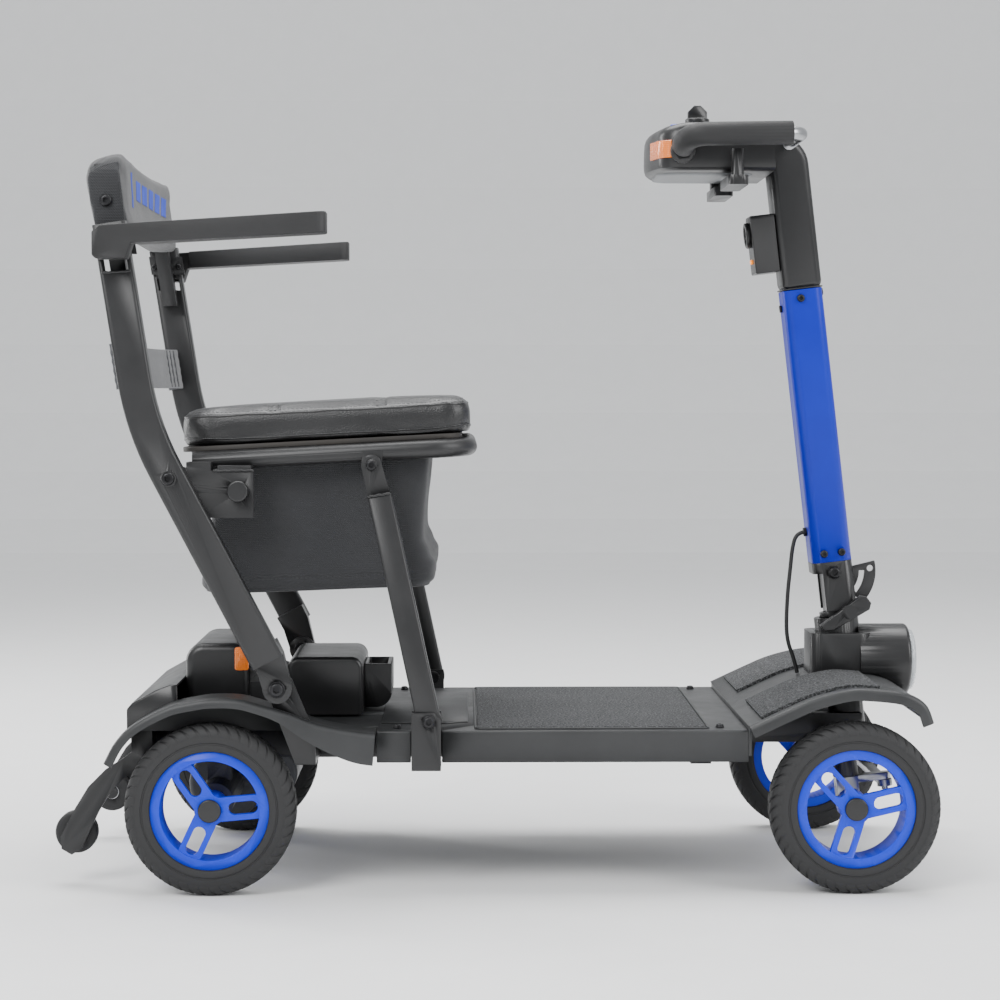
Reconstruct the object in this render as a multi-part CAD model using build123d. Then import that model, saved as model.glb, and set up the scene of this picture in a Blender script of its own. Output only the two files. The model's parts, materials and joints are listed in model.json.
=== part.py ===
from build123d import *
import math
import os

# Folding four-wheel mobility scooter, in millimetres.
# Working frame: X forward from the rear axle, Y to the rider's left, Z up from the floor.
# Every piece is moved back by ORIGIN_X when it is written, which puts the origin under the
# middle of the whole machine.

# ---------------------------------------------------------------- driving dimensions
WHEEL_R = 100.0            # solid tyre, outer radius
TYRE_W = 50.0
RIM_R = 69.0               # seat of the tyre on the rim
RIM_RING = 11.0            # radial width of the rim's outer ring
SPOKE_W = 28.0             # outer width of one looped spoke
SPOKE_SLOT = 15.0          # slot inside the looped spoke
HUB_R = 18.0
WHEELBASE = 751.0
TRACK = 420.0              # wheel centre to wheel centre
AXLE_R = 12.5              # drive shaft of a rear wheel
STUB_R = 7.5               # stub axle of a front wheel
RUN = 0.05                 # radial running clearance of shafts and pins
SEAT_GAP = 0.3             # soft pieces stand this far from what carries them

DECK_TOP = 190.0
DECK_T = 4.0
DECK_HALF = 212.0
DECK_WAIST = 172.0         # half width between the rear wheels
DECK_REAR = -42.0
DECK_WIDE_FROM = 193.0
DECK_FRONT = 627.0
SKIRT_BOTTOM = 153.0
FENDER_HALF = 236.0
FRONT_HALF = 228.0
SHEET_T = 5.0

RAIL_IN, RAIL_OUT = 95.0, 120.0
RAIL_BOTTOM = 146.0
RAIL_WALL = 2.0

POST_W, POST_T = 38.0, 22.0
POST_IN = 239.0            # inner face of a seat post
LEG_W, LEG_T = 30.0, 20.0
LEG_IN = 213.5
PIVOT_A = (79.0, 242.0)    # seat post on the chassis
PIVOT_B = (-41.0, 486.0)   # seat post on the seat frame
PIVOT_C = (188.0, 500.0)   # front leg on the seat frame
PIVOT_D = (254.0, 204.0)   # front leg on the chassis
POST_FOOT = (70.0, 275.0)
POST_LEAN_LOW = 27.7       # degrees from upright, below the bend
POST_LEAN_TOP = 8.85
POST_BEND = (-71.7, 544.6)
POST_BEND_R = 330.0
POST_TOP_Z = 776.0

SEAT_TILT = 3.0
SEAT_REAR = (-20.0, 504.0)  # centre of the seat tube at its rear end
SEAT_TUBE_R = 11.0
SEAT_TUBE_HALF = 200.0
SEAT_LENGTH = 320.0
BOARD_T = 6.0
CUSHION_T = 44.0
CUSHION_HALF = 200.0

ARM_PIN = (-104.0, 754.0)
PAD_REAR = -74.0           # clears the post's upper corner as the armrest lifts
ARM_FRONT = 140.0
ARM_OUT = 293.0
ARM_IN = 248.0

RAKE = 6.6                 # steering axis leans back, degrees
STEER_FOOT = (781.8, 125.0)  # a point of the steering axis
ARM_LENGTH = 45.0          # steering arms, all equal and parallel
KINGPIN_Y = 170.0
KINGPIN_R = 8.0
STEM_R = 14.0
HEAD_TUBE_R = 22.0
HEAD_BORE_R = 18.0
COLUMN_X, COLUMN_Y = 50.0, 54.0
COLUMN_WALL = 3.0
COLUMN_ROUND = 12.0
TILLER_PIVOT = 237.6       # along the steering axis from its foot
SLEEVE_TOP = 251.0
TUBE_TOP = 591.0
CONSOLE_HALF = 95.0
GRIP_HALF = 150.0
GRIP_Z = 891.0
GRIP_R = 14.0
BAR_R = 8.0
CABLE_R = 2.5

ANTI_TIP = (-166.0, 62.0)
ANTI_TIP_R = 25.0
ANTI_TIP_Y = 146.0

REARMOST = ANTI_TIP[0] - ANTI_TIP_R
FRONTMOST = WHEELBASE + WHEEL_R
ORIGIN_X = (REARMOST + FRONTMOST) / 2


# ---------------------------------------------------------------- helpers
def block(x0, x1, y0, y1, z0, z1):
    """A box given by its faces."""
    size = (x1 - x0, y1 - y0, z1 - z0)
    return Pos((x0 + x1) / 2, (y0 + y1) / 2, (z0 + z1) / 2) * Box(*size)


def rod_y(x, z, radius, y0, y1):
    return Pos(x, (y0 + y1) / 2, z) * Rot(90, 0, 0) * Cylinder(radius, abs(y1 - y0))


def rod_x(y, z, radius, x0, x1):
    return Pos((x0 + x1) / 2, y, z) * Rot(0, 90, 0) * Cylinder(radius, abs(x1 - x0))


def rod_z(x, y, radius, z0, z1):
    return Pos(x, y, (z0 + z1) / 2) * Cylinder(radius, abs(z1 - z0))


def plate(points, y0, y1):
    """A flat plate whose outline is given in X and Z."""
    outline = [(x, y1, z) for x, z in points]
    face = make_face(Polyline(*outline, close=True))
    return extrude(face, amount=y1 - y0, dir=(0, -1, 0))


def mirrored(shape):
    return mirror(shape, about=Plane.XZ)


def both_sides(shape):
    return [shape, mirrored(shape)]


def round_edges(shape, axis, radius):
    """Rounds the edges that run along one axis."""
    return fillet(shape.edges().filter_by(axis), radius)


def solids_of(shapes):
    found = []
    for shape in shapes:
        found.extend(shape.solids())
    return found


def save(name, *shapes):
    os.makedirs("parts", exist_ok=True)
    moved = [Pos(-ORIGIN_X, 0, 0) * solid for solid in solids_of(shapes)]
    export_step(Compound(children=moved), f"parts/{name}.step")


STEER = Plane(
    origin=(STEER_FOOT[0], 0, STEER_FOOT[1]),
    x_dir=(math.cos(math.radians(RAKE)), 0, math.sin(math.radians(RAKE))),
    z_dir=(-math.sin(math.radians(RAKE)), 0, math.cos(math.radians(RAKE))),
)


def steer(shape):
    """Places a shape drawn along the upright steering axis onto the raked one."""
    return STEER.location * shape


def steer_point(along, ahead=0.0):
    """X and Z of a point given along the steering axis and ahead of it."""
    c, s = math.cos(math.radians(RAKE)), math.sin(math.radians(RAKE))
    return (STEER_FOOT[0] - along * s + ahead * c, STEER_FOOT[1] + along * c + ahead * s)


def seat(shape):
    """Places a shape drawn level from the rear of the seat tube onto the tilted seat."""
    return Pos(SEAT_REAR[0], 0, SEAT_REAR[1]) * Rot(0, -SEAT_TILT, 0) * shape


def post_x(z):
    """Centre line of a seat post at a height."""
    low = POST_FOOT[0] - math.tan(math.radians(POST_LEAN_LOW)) * (z - POST_FOOT[1])
    top = POST_BEND[0] - math.tan(math.radians(POST_LEAN_TOP)) * (z - POST_BEND[1])
    return max(low, top) if z > POST_BEND[1] else low


# ---------------------------------------------------------------- chassis
FRONT_TOP = [(627, 196), (670, 216), (703, 230), (739, 239), (763, 240), (807, 235), (832, 222),
             (842, 200)]
REAR_TOP = [(-122, 156), (-109, 180), (-88, 201), (-50, 221), (-21, 228), (2, 231), (34, 230),
            (64, 222), (93, 213), (115, 204), (137, 198), (171, 192), (192, 190)]
REAR_LIP = [(192, 154), (167, 161), (137, 172), (108, 193), (78, 207), (49, 219), (-10, 221),
            (-48, 213), (-84, 194), (-104, 174), (-118, 151)]
BEAM_AHEAD = -33.5         # kingpins behind the steering axis
BEAM = (12.0, 42.0)        # axle beam along the steering axis


def square_tube(x0, x1, y0, y1, z0, z1, along):
    """A rectangular tube with open ends along X or Y."""
    w = RAIL_WALL
    outer = block(x0, x1, y0, y1, z0, z1)
    if along == "x":
        return outer - block(x0 - 1, x1 + 1, y0 + w, y1 - w, z0 + w, z1 - w)
    return outer - block(x0 + w, x1 - w, y0 - 1, y1 + 1, z0 + w, z1 - w)


def chassis_frame():
    deck_under = DECK_TOP - DECK_T
    rail = square_tube(-90, 620, RAIL_IN, RAIL_OUT, RAIL_BOTTOM, deck_under, "x")
    frame = rail + mirrored(rail)
    for x0, x1, half in ((-98, -74, ANTI_TIP_Y + 10), (98, 122, 207), (240, 266, 205), (560, 584, 205)):
        frame += square_tube(x0, x1, -half, half, 150, deck_under, "y")
    spine = square_tube(584, 790, -30, 30, 150, deck_under, "x")
    head = steer(rod_z(0, 0, HEAD_TUBE_R, 20, 172))
    half_beam = KINGPIN_Y - 12
    beam = steer(block(BEAM_AHEAD - 17, BEAM_AHEAD + 17, -half_beam, half_beam, *BEAM))
    frame = frame + spine + head + beam
    for side in (-1, 1):
        frame += steer(rod_z(BEAM_AHEAD, side * KINGPIN_Y, 15, 9.5, 45))
    frame -= steer(rod_z(0, 0, HEAD_BORE_R, 0, 200))
    for side in (-1, 1):
        frame -= steer(rod_z(BEAM_AHEAD, side * KINGPIN_Y, KINGPIN_R + RUN, 0, 60))
    return frame


def deck_shell():
    outline = [(DECK_REAR, DECK_WAIST), (DECK_WIDE_FROM, DECK_WAIST), (DECK_WIDE_FROM, DECK_HALF),
               (DECK_FRONT, DECK_HALF), (DECK_FRONT, -DECK_HALF), (DECK_WIDE_FROM, -DECK_HALF),
               (DECK_WIDE_FROM, -DECK_WAIST), (DECK_REAR, -DECK_WAIST)]
    flat = make_face(Polyline(*[(x, y, DECK_TOP) for x, y in outline], close=True))
    pan = extrude(flat, amount=DECK_T, dir=(0, 0, -1))
    skids = block(78, 196, 50, 70, DECK_TOP - 1, DECK_TOP + 2)
    pan = pan + skids + mirrored(skids)
    skirt = block(DECK_WIDE_FROM, DECK_FRONT, DECK_HALF - 3, DECK_HALF, SKIRT_BOTTOM, DECK_TOP)
    pan = pan + skirt + mirrored(skirt)
    rim = pan.edges().filter_by(Axis.X).group_by(Axis.Y)
    pan = fillet([rim[0].sort_by(Axis.Z)[-1], rim[-1].sort_by(Axis.Z)[-1]], 2.0)
    notch = block(PIVOT_D[0] - 21, PIVOT_D[0] + 15, DECK_HALF - 8, DECK_HALF + 5, 140, 200)
    return pan - notch - mirrored(notch)


def deck_hatch():
    """Cover panel ahead of the battery, with its front corners cut off."""
    top = DECK_TOP + 2
    points = [(196, -150), (274, -150), (300, -138), (300, 138), (274, 150), (196, 150)]
    face = make_face(Polyline(*[(x, y, top) for x, y in points], close=True))
    return extrude(face, amount=2, dir=(0, 0, -1))


def strip_under(top, thickness, y0, y1, first, last):
    """A bent sheet below a run of the points of an outline."""
    run = top[first:last]
    return plate(run + [(x, z - thickness) for x, z in reversed(run)], y0, y1)


def front_deck():
    half = FRONT_HALF
    sheet = strip_under(FRONT_TOP, SHEET_T, -half, half, 0, len(FRONT_TOP))
    lip = strip_under(FRONT_TOP, 14, half - 4, half, 0, len(FRONT_TOP))
    riser = block(DECK_FRONT, DECK_FRONT + 4, -DECK_HALF, DECK_HALF, 160, 196)
    riser -= block(DECK_FRONT - 1, DECK_FRONT + 5, -30.2, 30.2, 140, DECK_TOP - DECK_T + 0.2)
    sheet = sheet + lip + mirrored(lip) + riser
    return sheet - steer(rod_z(0, 0, HEAD_TUBE_R + 2, 20, 200))


def deck_mats():
    main = block(311, 579, -195, 195, DECK_TOP, DECK_TOP + 2.5)
    main = round_edges(main, Axis.Z, 6)
    under = FRONT_TOP[:5] + [(784, 240 - 5 * 21 / 44)]
    strip = plate([(x, z + 2.2) for x, z in under] + under[::-1], 48, 205)
    cut = block(600, 634, 0, 300, 100, 300)
    return [main] + both_sides(strip - cut)


def deck_grommet():
    ring = rod_z(CABLE_END[0], 0, 11, CABLE_END[1] - 6, CABLE_END[1] + 2)
    below = plate(FRONT_TOP + [(842, 150), (627, 150)], -40, 40)
    return ring - below - rod_z(CABLE_END[0], 0, CABLE_R + 0.5, 200, 260)


def rear_cover():
    back, front = -103, DECK_REAR - 1
    base = DECK_TOP - DECK_T
    outer = [(back, base), (back, 211), (-97, 218), (-70, 233), (-52, 240), (front, 240),
             (front, base)]
    inner = [(back + 3, base - 1), (back + 3, 209), (-95, 215), (-69, 230), (-51, 237),
             (front + 1, 237), (front + 1, base - 1)]
    half = DECK_WAIST - SEAT_GAP
    return plate(outer, -half, half) - plate(inner, -half + 3, half - 3)


def rear_fender():
    sheet = strip_under(REAR_TOP, SHEET_T, DECK_WAIST, FENDER_HALF, 0, len(REAR_TOP))
    lip = plate(REAR_TOP + REAR_LIP, FENDER_HALF - 4, FENDER_HALF)
    inner_wall = plate(REAR_TOP[1:] + [(192, 186), (-90, 186)], DECK_WAIST, DECK_WAIST + 3)
    fender = sheet + lip + inner_wall
    slot = block(56, 134, 205, 214.5, 170, 260)
    return fender - slot


def tail_pod():
    hood = block(DECK_REAR, 36, -100, 100, DECK_TOP, 281)
    hood = fillet(hood.edges().filter_by(Axis.Y).group_by(Axis.Z)[-1], 22)
    hood = fillet(hood.edges().filter_by(Axis.Z), 10)
    dock = block(30, 78, -92, 92, DECK_TOP, 234)
    hollow = block(DECK_REAR + 4, 70, -86, 86, DECK_TOP - 1, 228)
    return hood + dock - hollow


def rear_reflector():
    lens = block(18, 35, 100, 103, 249, 277)
    return round_edges(lens, Axis.Y, 3)


def head_shroud():
    base = block(725, 800, -38, 38, 190, 286)
    base = round_edges(base, Axis.Z, 14)
    neck = steer(rod_z(0, 0, 27.5, 150, 181))
    barrel = rod_x(0, 250, 45, 786, 850)
    barrel = fillet(barrel.edges().filter_by(GeomType.CIRCLE).group_by(Axis.X)[-1], 5)
    shell = base + neck + barrel - rod_x(0, 250, 39, 842, 851) - rod_x(0, 250, 36, 812, 843)
    below = plate(FRONT_TOP + [(880, 200), (880, 150), (627, 150)], -60, 60)
    return shell - below - steer(rod_z(0, 0, HEAD_TUBE_R + 1, 0, 174)) - steer(
        rod_z(0, 0, 21, 170, 200))


def headlight():
    """Lens of the lamp, with a rounded rim."""
    lens = rod_x(0, 250, 38.8, 843, 857)
    lens = fillet(lens.edges().filter_by(GeomType.CIRCLE).group_by(Axis.X)[-1], 6)
    below = plate(FRONT_TOP + [(880, 200), (880, 150), (627, 150)], -60, 60)
    return lens - below


def head_bearings():
    rings = []
    for low in (22, 162):
        ring = rod_z(0, 0, HEAD_BORE_R, low, low + 8) - rod_z(0, 0, STEM_R + RUN, low, low + 8)
        rings.append(steer(ring))
    return rings


def transaxle():
    case = rod_y(0, WHEEL_R, 46, -32, 32)
    case = fillet(case.edges().filter_by(GeomType.CIRCLE), 6)
    tube = rod_y(0, WHEEL_R, 22, -166, 166)
    saddle = block(-14, 14, RAIL_IN + 2, RAIL_OUT - 2, WHEEL_R, RAIL_BOTTOM)
    body = case + tube + saddle + mirrored(saddle)
    for side in (-1, 1):
        body -= rod_y(0, WHEEL_R, AXLE_R + RUN, side * 28, side * 170)
    return body


def drive_motor():
    """Motor lying across the machine ahead of the gear case."""
    motor = rod_y(56, 112, 32, -28, 120)
    motor = fillet(motor.edges().filter_by(GeomType.CIRCLE), 5)
    return motor - rod_y(0, WHEEL_R, 46, -40, 40)


def controller_box():
    box = block(300, 440, -70, 70, 152, DECK_TOP - DECK_T)
    return round_edges(box, Axis.Z, 8)


def hinge_plate():
    """Plate that carries the seat post's foot, standing on the rear crossmember."""
    ax, az = PIVOT_A
    web = plate([(98, 152), (122, 152), (122, 186), (94, 252), (66, 236)], 207, 213)
    web += rod_y(ax, az, 17, 207, 213)
    return web - rod_y(ax, az, 6, 200, 220)


def leg_bracket():
    dx, dz = PIVOT_D
    outer = plate([(dx - 20, 147), (dx + 14, 147), (dx + 14, 206), (dx + 7, 214),
                   (dx - 20, 214)], LEG_IN + LEG_T + 0.5, LEG_IN + LEG_T + 3.5)
    inner = plate([(dx - 20, 147), (dx + 14, 147), (dx + 14, 214), (dx - 20, 214)],
                  LEG_IN - 4, LEG_IN - 0.5)
    foot = block(dx - 20, dx + 14, 180, LEG_IN + LEG_T + 3.5, 147, 150)
    clamp = outer + inner + foot
    return clamp - rod_y(dx, dz, 5, 200, 240)


ANTI_TIP_ARM = [(-76, 168), (-74, 146), (-92, 140), (-108, 128), (-126, 108), (-138, 88),
                (-150, 62), (-158, 44), (-170, 37), (-182, 44), (-183, 58), (-166, 92),
                (-150, 118), (-130, 138), (-108, 152), (-98, 160)]


def anti_tip_arm():
    x, z = ANTI_TIP
    arm = plate(ANTI_TIP_ARM, ANTI_TIP_Y + 10, ANTI_TIP_Y + 18)
    pad = block(-99, -74, ANTI_TIP_Y + 10, ANTI_TIP_Y + 18, 148, 186)
    axle = rod_y(x, z, 5, ANTI_TIP_Y - 10, ANTI_TIP_Y + 10)
    head = rod_y(x, z, 8, ANTI_TIP_Y - 14, ANTI_TIP_Y - 10)
    return arm + pad + axle + head


def frame_brackets():
    pieces = []
    for piece in (hinge_plate(), leg_bracket(), anti_tip_arm()):
        pieces.extend(both_sides(piece))
    return pieces


def bolt(x, z, radius, inside, outside, head_r, head_t):
    """Button-head bolt along Y, with a nut on its inner end."""
    shank = rod_y(x, z, radius, inside - 6, outside)
    head = rod_y(x, z, head_r, outside, outside + head_t)
    head = fillet(head.edges().filter_by(GeomType.CIRCLE).group_by(Axis.Y)[-1], 2)
    nut = rod_y(x, z, head_r, inside - 6, inside)
    return shank + head + nut


def chassis_fasteners():
    posts = bolt(*PIVOT_A, 6, 207, LEG_IN + LEG_T + 0.3, 10, 6)
    legs = bolt(*PIVOT_D, 5, LEG_IN - 4, LEG_IN + LEG_T + 3.5, 8, 5)
    pieces = both_sides(posts) + both_sides(legs)
    for x in (216, 596):
        screw = rod_z(x, 186, 5, DECK_TOP, DECK_TOP + 2)
        pieces.extend(both_sides(screw))
    return pieces


# ---------------------------------------------------------------- battery
BATTERY = (80.0, 172.0)
BATTERY_HALF = 88.0
BATTERY_TOP = 263.0


def battery_pack():
    x0, x1 = BATTERY
    case = block(x0, x1, -BATTERY_HALF, BATTERY_HALF, DECK_TOP + 2.2, BATTERY_TOP)
    case = fillet(case.edges().filter_by(Axis.Y).group_by(Axis.Z)[-1], 14)
    case = fillet(case.edges().filter_by(Axis.Z), 6)
    handle = block(x1, x1 + 34, -42, 42, 196, 250)
    handle = fillet(handle.edges().filter_by(Axis.Y).group_by(Axis.X)[-1].group_by(Axis.Z)[0], 20)
    pocket = block(x1 + 5, x1 + 28, -36, 36, 206, 251)
    return [case, handle - pocket]


# ---------------------------------------------------------------- steering and tiller
def steering_stem():
    shaft = rod_z(0, 0, STEM_R, 0.5, 183)
    arm = block(0, ARM_LENGTH, -9, 9, 0.5, 8.5) + rod_z(ARM_LENGTH, 0, 9, 0.5, 8.5)
    pin = rod_z(ARM_LENGTH, 0, 4, -12, 0.5)
    collar = rod_z(0, 0, 20, 182, 187)
    collar += rod_y(0, 187, 12, -COLUMN_Y / 2 + 4.5, COLUMN_Y / 2 - 4.5) & block(
        -12, 12, -30, 30, 182, 187)
    half = COLUMN_Y / 2 - 4.5
    tongue = block(-12, 12, -half, half, 187, TILLER_PIVOT)
    tongue += rod_y(0, TILLER_PIVOT, 12, -half, half)
    tongue -= rod_y(0, TILLER_PIVOT, 6 + RUN, -half - 1, half + 1)
    return steer(shaft + arm + pin + collar + tongue)


def latch_sector():
    """Slotted quadrant ahead of the tiller's hinge."""
    disc = rod_y(0, TILLER_PIVOT, 56, -2.5, 2.5)
    reach = 90
    low, high = math.radians(-52), math.radians(7)
    wedge = plate([(0, TILLER_PIVOT),
                   (reach * math.cos(low), TILLER_PIVOT + reach * math.sin(low)),
                   (reach, TILLER_PIVOT - 10),
                   (reach * math.cos(high), TILLER_PIVOT + reach * math.sin(high))], -3, 3)
    sector = disc & wedge
    ring = rod_y(0, TILLER_PIVOT, 42, -3, 3) - rod_y(0, TILLER_PIVOT, 35, -3, 3)
    narrow = plate([(0, TILLER_PIVOT), (70, TILLER_PIVOT - 74), (90, TILLER_PIVOT - 8)], -3, 3)
    sector -= ring & narrow
    sector -= rod_y(49, TILLER_PIVOT - 2, 4, -3, 3)
    sector -= block(-30, 12, -3, 3, TILLER_PIVOT - 90, TILLER_PIVOT + 40)
    foot = block(12, 26, -2.5, 2.5, 187, TILLER_PIVOT - 14)
    return steer(sector + foot)


def rounded_tube(z0, z1, wall):
    outer = extrude(RectangleRounded(COLUMN_X, COLUMN_Y, COLUMN_ROUND), z1 - z0)
    inner = extrude(RectangleRounded(COLUMN_X - 2 * wall, COLUMN_Y - 2 * wall,
                                     COLUMN_ROUND - wall), z1 - z0)
    return Pos(0, 0, z0) * (outer - inner)


def column_sleeve():
    """Hinge half that drops over the stem's tongue, with a spigot for the tube above."""
    low = 190
    body = rounded_tube(low, SLEEVE_TOP, 4)
    body -= block(-40, -14, -30, 30, low - 1, TILLER_PIVOT)
    body -= block(10, 40, -4, 4, low - 1, TILLER_PIVOT + 12)
    spigot_x, spigot_y = COLUMN_X - 2 * COLUMN_WALL, COLUMN_Y - 2 * COLUMN_WALL
    radius = COLUMN_ROUND - COLUMN_WALL
    spigot = extrude(RectangleRounded(spigot_x, spigot_y, radius), 40)
    spigot -= extrude(RectangleRounded(spigot_x - 8, spigot_y - 8, radius - 4), 40)
    spigot = Pos(0, 0, SLEEVE_TOP - 1) * spigot
    tip = body + spigot
    return steer(tip - rod_y(0, TILLER_PIVOT, 6, -40, 40))


def column_tube():
    tube = rounded_tube(SLEEVE_TOP, TUBE_TOP, COLUMN_WALL)
    hole = rod_x(0, CABLE_HOLE, 5.5, -30, -15)
    return steer(tube - hole)


def column_head():
    """Upper tube with its rounded shoulder, which carries the bar and the console."""
    top = 786
    outer = extrude(RectangleRounded(COLUMN_X, COLUMN_Y, COLUMN_ROUND), top - TUBE_TOP)
    outer = Pos(0, 0, TUBE_TOP) * outer
    crown = fillet(outer.edges().group_by(Axis.Z)[-1], 8)
    spigot = Pos(0, 0, TUBE_TOP - 30) * extrude(
        RectangleRounded(COLUMN_X - 2 * COLUMN_WALL, COLUMN_Y - 2 * COLUMN_WALL,
                         COLUMN_ROUND - COLUMN_WALL), 30)
    bore = Pos(0, 0, TUBE_TOP - 31) * extrude(RectangleRounded(36, 40, 6), top - TUBE_TOP + 20)
    head = steer(crown + spigot - bore)
    bar_hole = rod_y(BAR_X, GRIP_Z, BAR_R, -40, 40)
    return head - bar_hole


BAR_X = 696.0
CONSOLE_BACK = 518.0
CONSOLE_SPLIT = 857.0
CONSOLE_TOP = [(CONSOLE_BACK + 4, CONSOLE_SPLIT), (CONSOLE_BACK, 868), (CONSOLE_BACK + 3, 892),
               (CONSOLE_BACK + 14, 905), (560, 910), (610, 914), (655, 912)]


def console_front():
    """Front face of the console, lying against the raked column."""
    low = (CONSOLE_SPLIT - steer_point(0, -COLUMN_X / 2 - 0.2)[1]) / math.cos(math.radians(RAKE))
    return [steer_point(794, -COLUMN_X / 2 - 0.2), steer_point(low, -COLUMN_X / 2 - 0.2)]


def console_cover():
    body = plate(CONSOLE_TOP + console_front(), -CONSOLE_HALF, CONSOLE_HALF)
    inner = plate([(532, 850), (530, 890), (562, 904), (650, 906), (664, 850)], -86, 86)
    shell = body - inner
    for side in (-1, 1):
        shell -= rod_y(COLLAR_X, COLLAR_Z, BAR_R + 4, side * 80, side * 120)
    shell -= rod_z(DIAL_X, 0, 5.5, 880, 930)
    return shell - rod_z(HORN_X, HORN_Y, 9.3, 880, 930)


def console_base():
    points = [(CONSOLE_BACK + 6, CONSOLE_SPLIT), (CONSOLE_BACK + 16, 849), (600, 845),
              (660, 849), (670, CONSOLE_SPLIT)]
    pan = plate(points, -CONSOLE_HALF + 2, CONSOLE_HALF - 2)
    pocket = block(540, 655, -80, 80, 851, CONSOLE_SPLIT + 1)
    pan -= pocket
    for side in (-1, 1):
        pan -= rod_z(LEVER_X, side * LEVER_Y, 5 + RUN, 840, 860)
    return pan


DIAL_X = 585.0
HORN_X, HORN_Y = 557.0, -34.0
COLLAR_X, COLLAR_Z = 556.0, 872.0
LEVER_X, LEVER_Y = 622.0, 46.0


def bar_path():
    """Half of the looped handlebar, from the column head round to the console."""
    y = GRIP_HALF
    return FilletPolyline((BAR_X, 0, GRIP_Z), (BAR_X, y, GRIP_Z), (560, y, GRIP_Z - 2),
                          (COLLAR_X, CONSOLE_HALF - 8, COLLAR_Z), radius=(24, 26))


def handlebar():
    path = bar_path()
    tube = sweep(Plane(path @ 0, z_dir=path % 0) * Circle(BAR_R), path=path)
    tube -= sweep(Plane(path @ 0, z_dir=path % 0) * Circle(BAR_R - 2), path=path)
    collar_end = path @ 0.985
    collar = rod_y(COLLAR_X + 2, collar_end.Z + 1, 15, CONSOLE_HALF, CONSOLE_HALF + 9)
    grip_line = FilletPolyline((BAR_X - 12, GRIP_HALF, GRIP_Z - 0.2), (560, GRIP_HALF, GRIP_Z - 2),
                               (COLLAR_X + 1.6, 112, COLLAR_Z + 6.7), radius=26)
    section = Plane(grip_line @ 0, z_dir=grip_line % 0)
    grip = sweep(section * (Circle(GRIP_R) - Circle(BAR_R + 0.1)), path=grip_line)
    pieces = []
    for piece in (tube, grip):
        pieces.extend(both_sides(piece))
    collar -= tube
    return pieces + both_sides(collar)


def key_box():
    low, high = 616, 688
    front = -COLUMN_X / 2
    box = block(front - 30, front, -24, 24, low, high)
    box = fillet(box.edges().filter_by(Axis.X).group_by(Axis.Z)[-1], 5)
    socket = rod_x(0, 665, 16, front - 36, front - 30)
    socket = fillet(socket.edges().filter_by(GeomType.CIRCLE).group_by(Axis.X)[0], 2)
    bore = rod_x(0, 665, 11, front - 37, front - 18)
    box -= bore
    socket -= bore
    lamp = rod_x(0, 632, 3, front - 33, front - 30)
    return [steer(box), steer(socket), steer(lamp)]


def tiller_fasteners():
    out = COLUMN_Y / 2
    pieces = [steer(rod_y(0, TILLER_PIVOT, 6, -out, out)
                    + rod_y(0, TILLER_PIVOT, 8, out, out + 4)
                    + rod_y(0, TILLER_PIVOT, 8, -out - 4, -out))]
    for ahead, along in ((-10, 262), (12, 262), (-4, 580)):
        screw = rod_y(ahead, along, 4.5, out, out + 2.5)
        pieces.extend(both_sides(steer(screw)))
    pieces.append(steer(rod_x(0, 570, 4.5, -COLUMN_X / 2 - 3, -COLUMN_X / 2)))
    pieces.append(steer(rod_x(0, 586, 4.5, COLUMN_X / 2, COLUMN_X / 2 + 3)))
    grommet = rod_x(0, CABLE_HOLE, 5.5, -COLUMN_X / 2 - 4, -COLUMN_X / 2 + COLUMN_WALL)
    pieces.append(steer(grommet - rod_x(0, CABLE_HOLE, CABLE_R, -40, -10)))
    return pieces


def console_reflector():
    lens = block(CONSOLE_BACK + 4, CONSOLE_BACK + 20, CONSOLE_HALF, CONSOLE_HALF + 2.5, 868, 888)
    return round_edges(lens, Axis.Y, 3)


def fold_lever():
    px, pz = LEVER_PIN
    grip = plate([(736, 296), (741, 289), (752, 290), (797, 316), (799, 324), (793, 332),
                  (786, 333)], -41, -29)
    grip = fillet(grip.edges().filter_by(Plane.XZ), 1.5)
    hub = rod_y(px, pz, 9, -42, -COLUMN_Y / 2 - 0.3)
    return grip + hub


LEVER_PIN = (772.0, 313.0)


def speed_dial():
    top = 913.8
    base = rod_z(DIAL_X, 0, 15, top + 0.3, top + 10)
    base = fillet(base.edges().filter_by(GeomType.CIRCLE).group_by(Axis.Z)[-1], 2)
    fin = block(DIAL_X - 12, DIAL_X + 12, -3.5, 3.5, top + 10, 940)
    fin = chamfer(fin.edges().filter_by(Axis.Y).group_by(Axis.Z)[-1], 8)
    shaft = rod_z(DIAL_X, 0, 5, 900, top + 1)
    return base + fin + shaft


def horn_button():
    cap = rod_z(HORN_X, HORN_Y, 9, 902, 913)
    return fillet(cap.edges().filter_by(GeomType.CIRCLE).group_by(Axis.Z)[-1], 2.5)


def drive_lever():
    """Finger paddle under the left grip."""
    arm = block(LEVER_X - 12, LEVER_X + 12, 30, 134, 824, 843)
    arm = round_edges(arm, Axis.Z, 8)
    blade = block(LEVER_X - 8, LEVER_X + 6, 116, 134, 840, 874)
    blade = round_edges(blade, Axis.Z, 5)
    stub = rod_z(LEVER_X, LEVER_Y, 5, 843, 853)
    return arm + blade + stub


# The cable leaves the tube, hangs behind the column and goes into the deck.
CABLE_HOLE = 290.0
CABLE_START = steer_point(CABLE_HOLE, -COLUMN_X / 2 - 4)
CABLE_END = (713.0, 233.0)
CABLE_JOIN = (699.6, 313.0)
CABLE_UPPER = [CABLE_START, (711, 408), (706, 390), (703.5, 362), (700.6, 336), CABLE_JOIN]
CABLE_LOWER = [CABLE_JOIN, (698.73, 293), (701, 271), (708.5, 252), CABLE_END]


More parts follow.
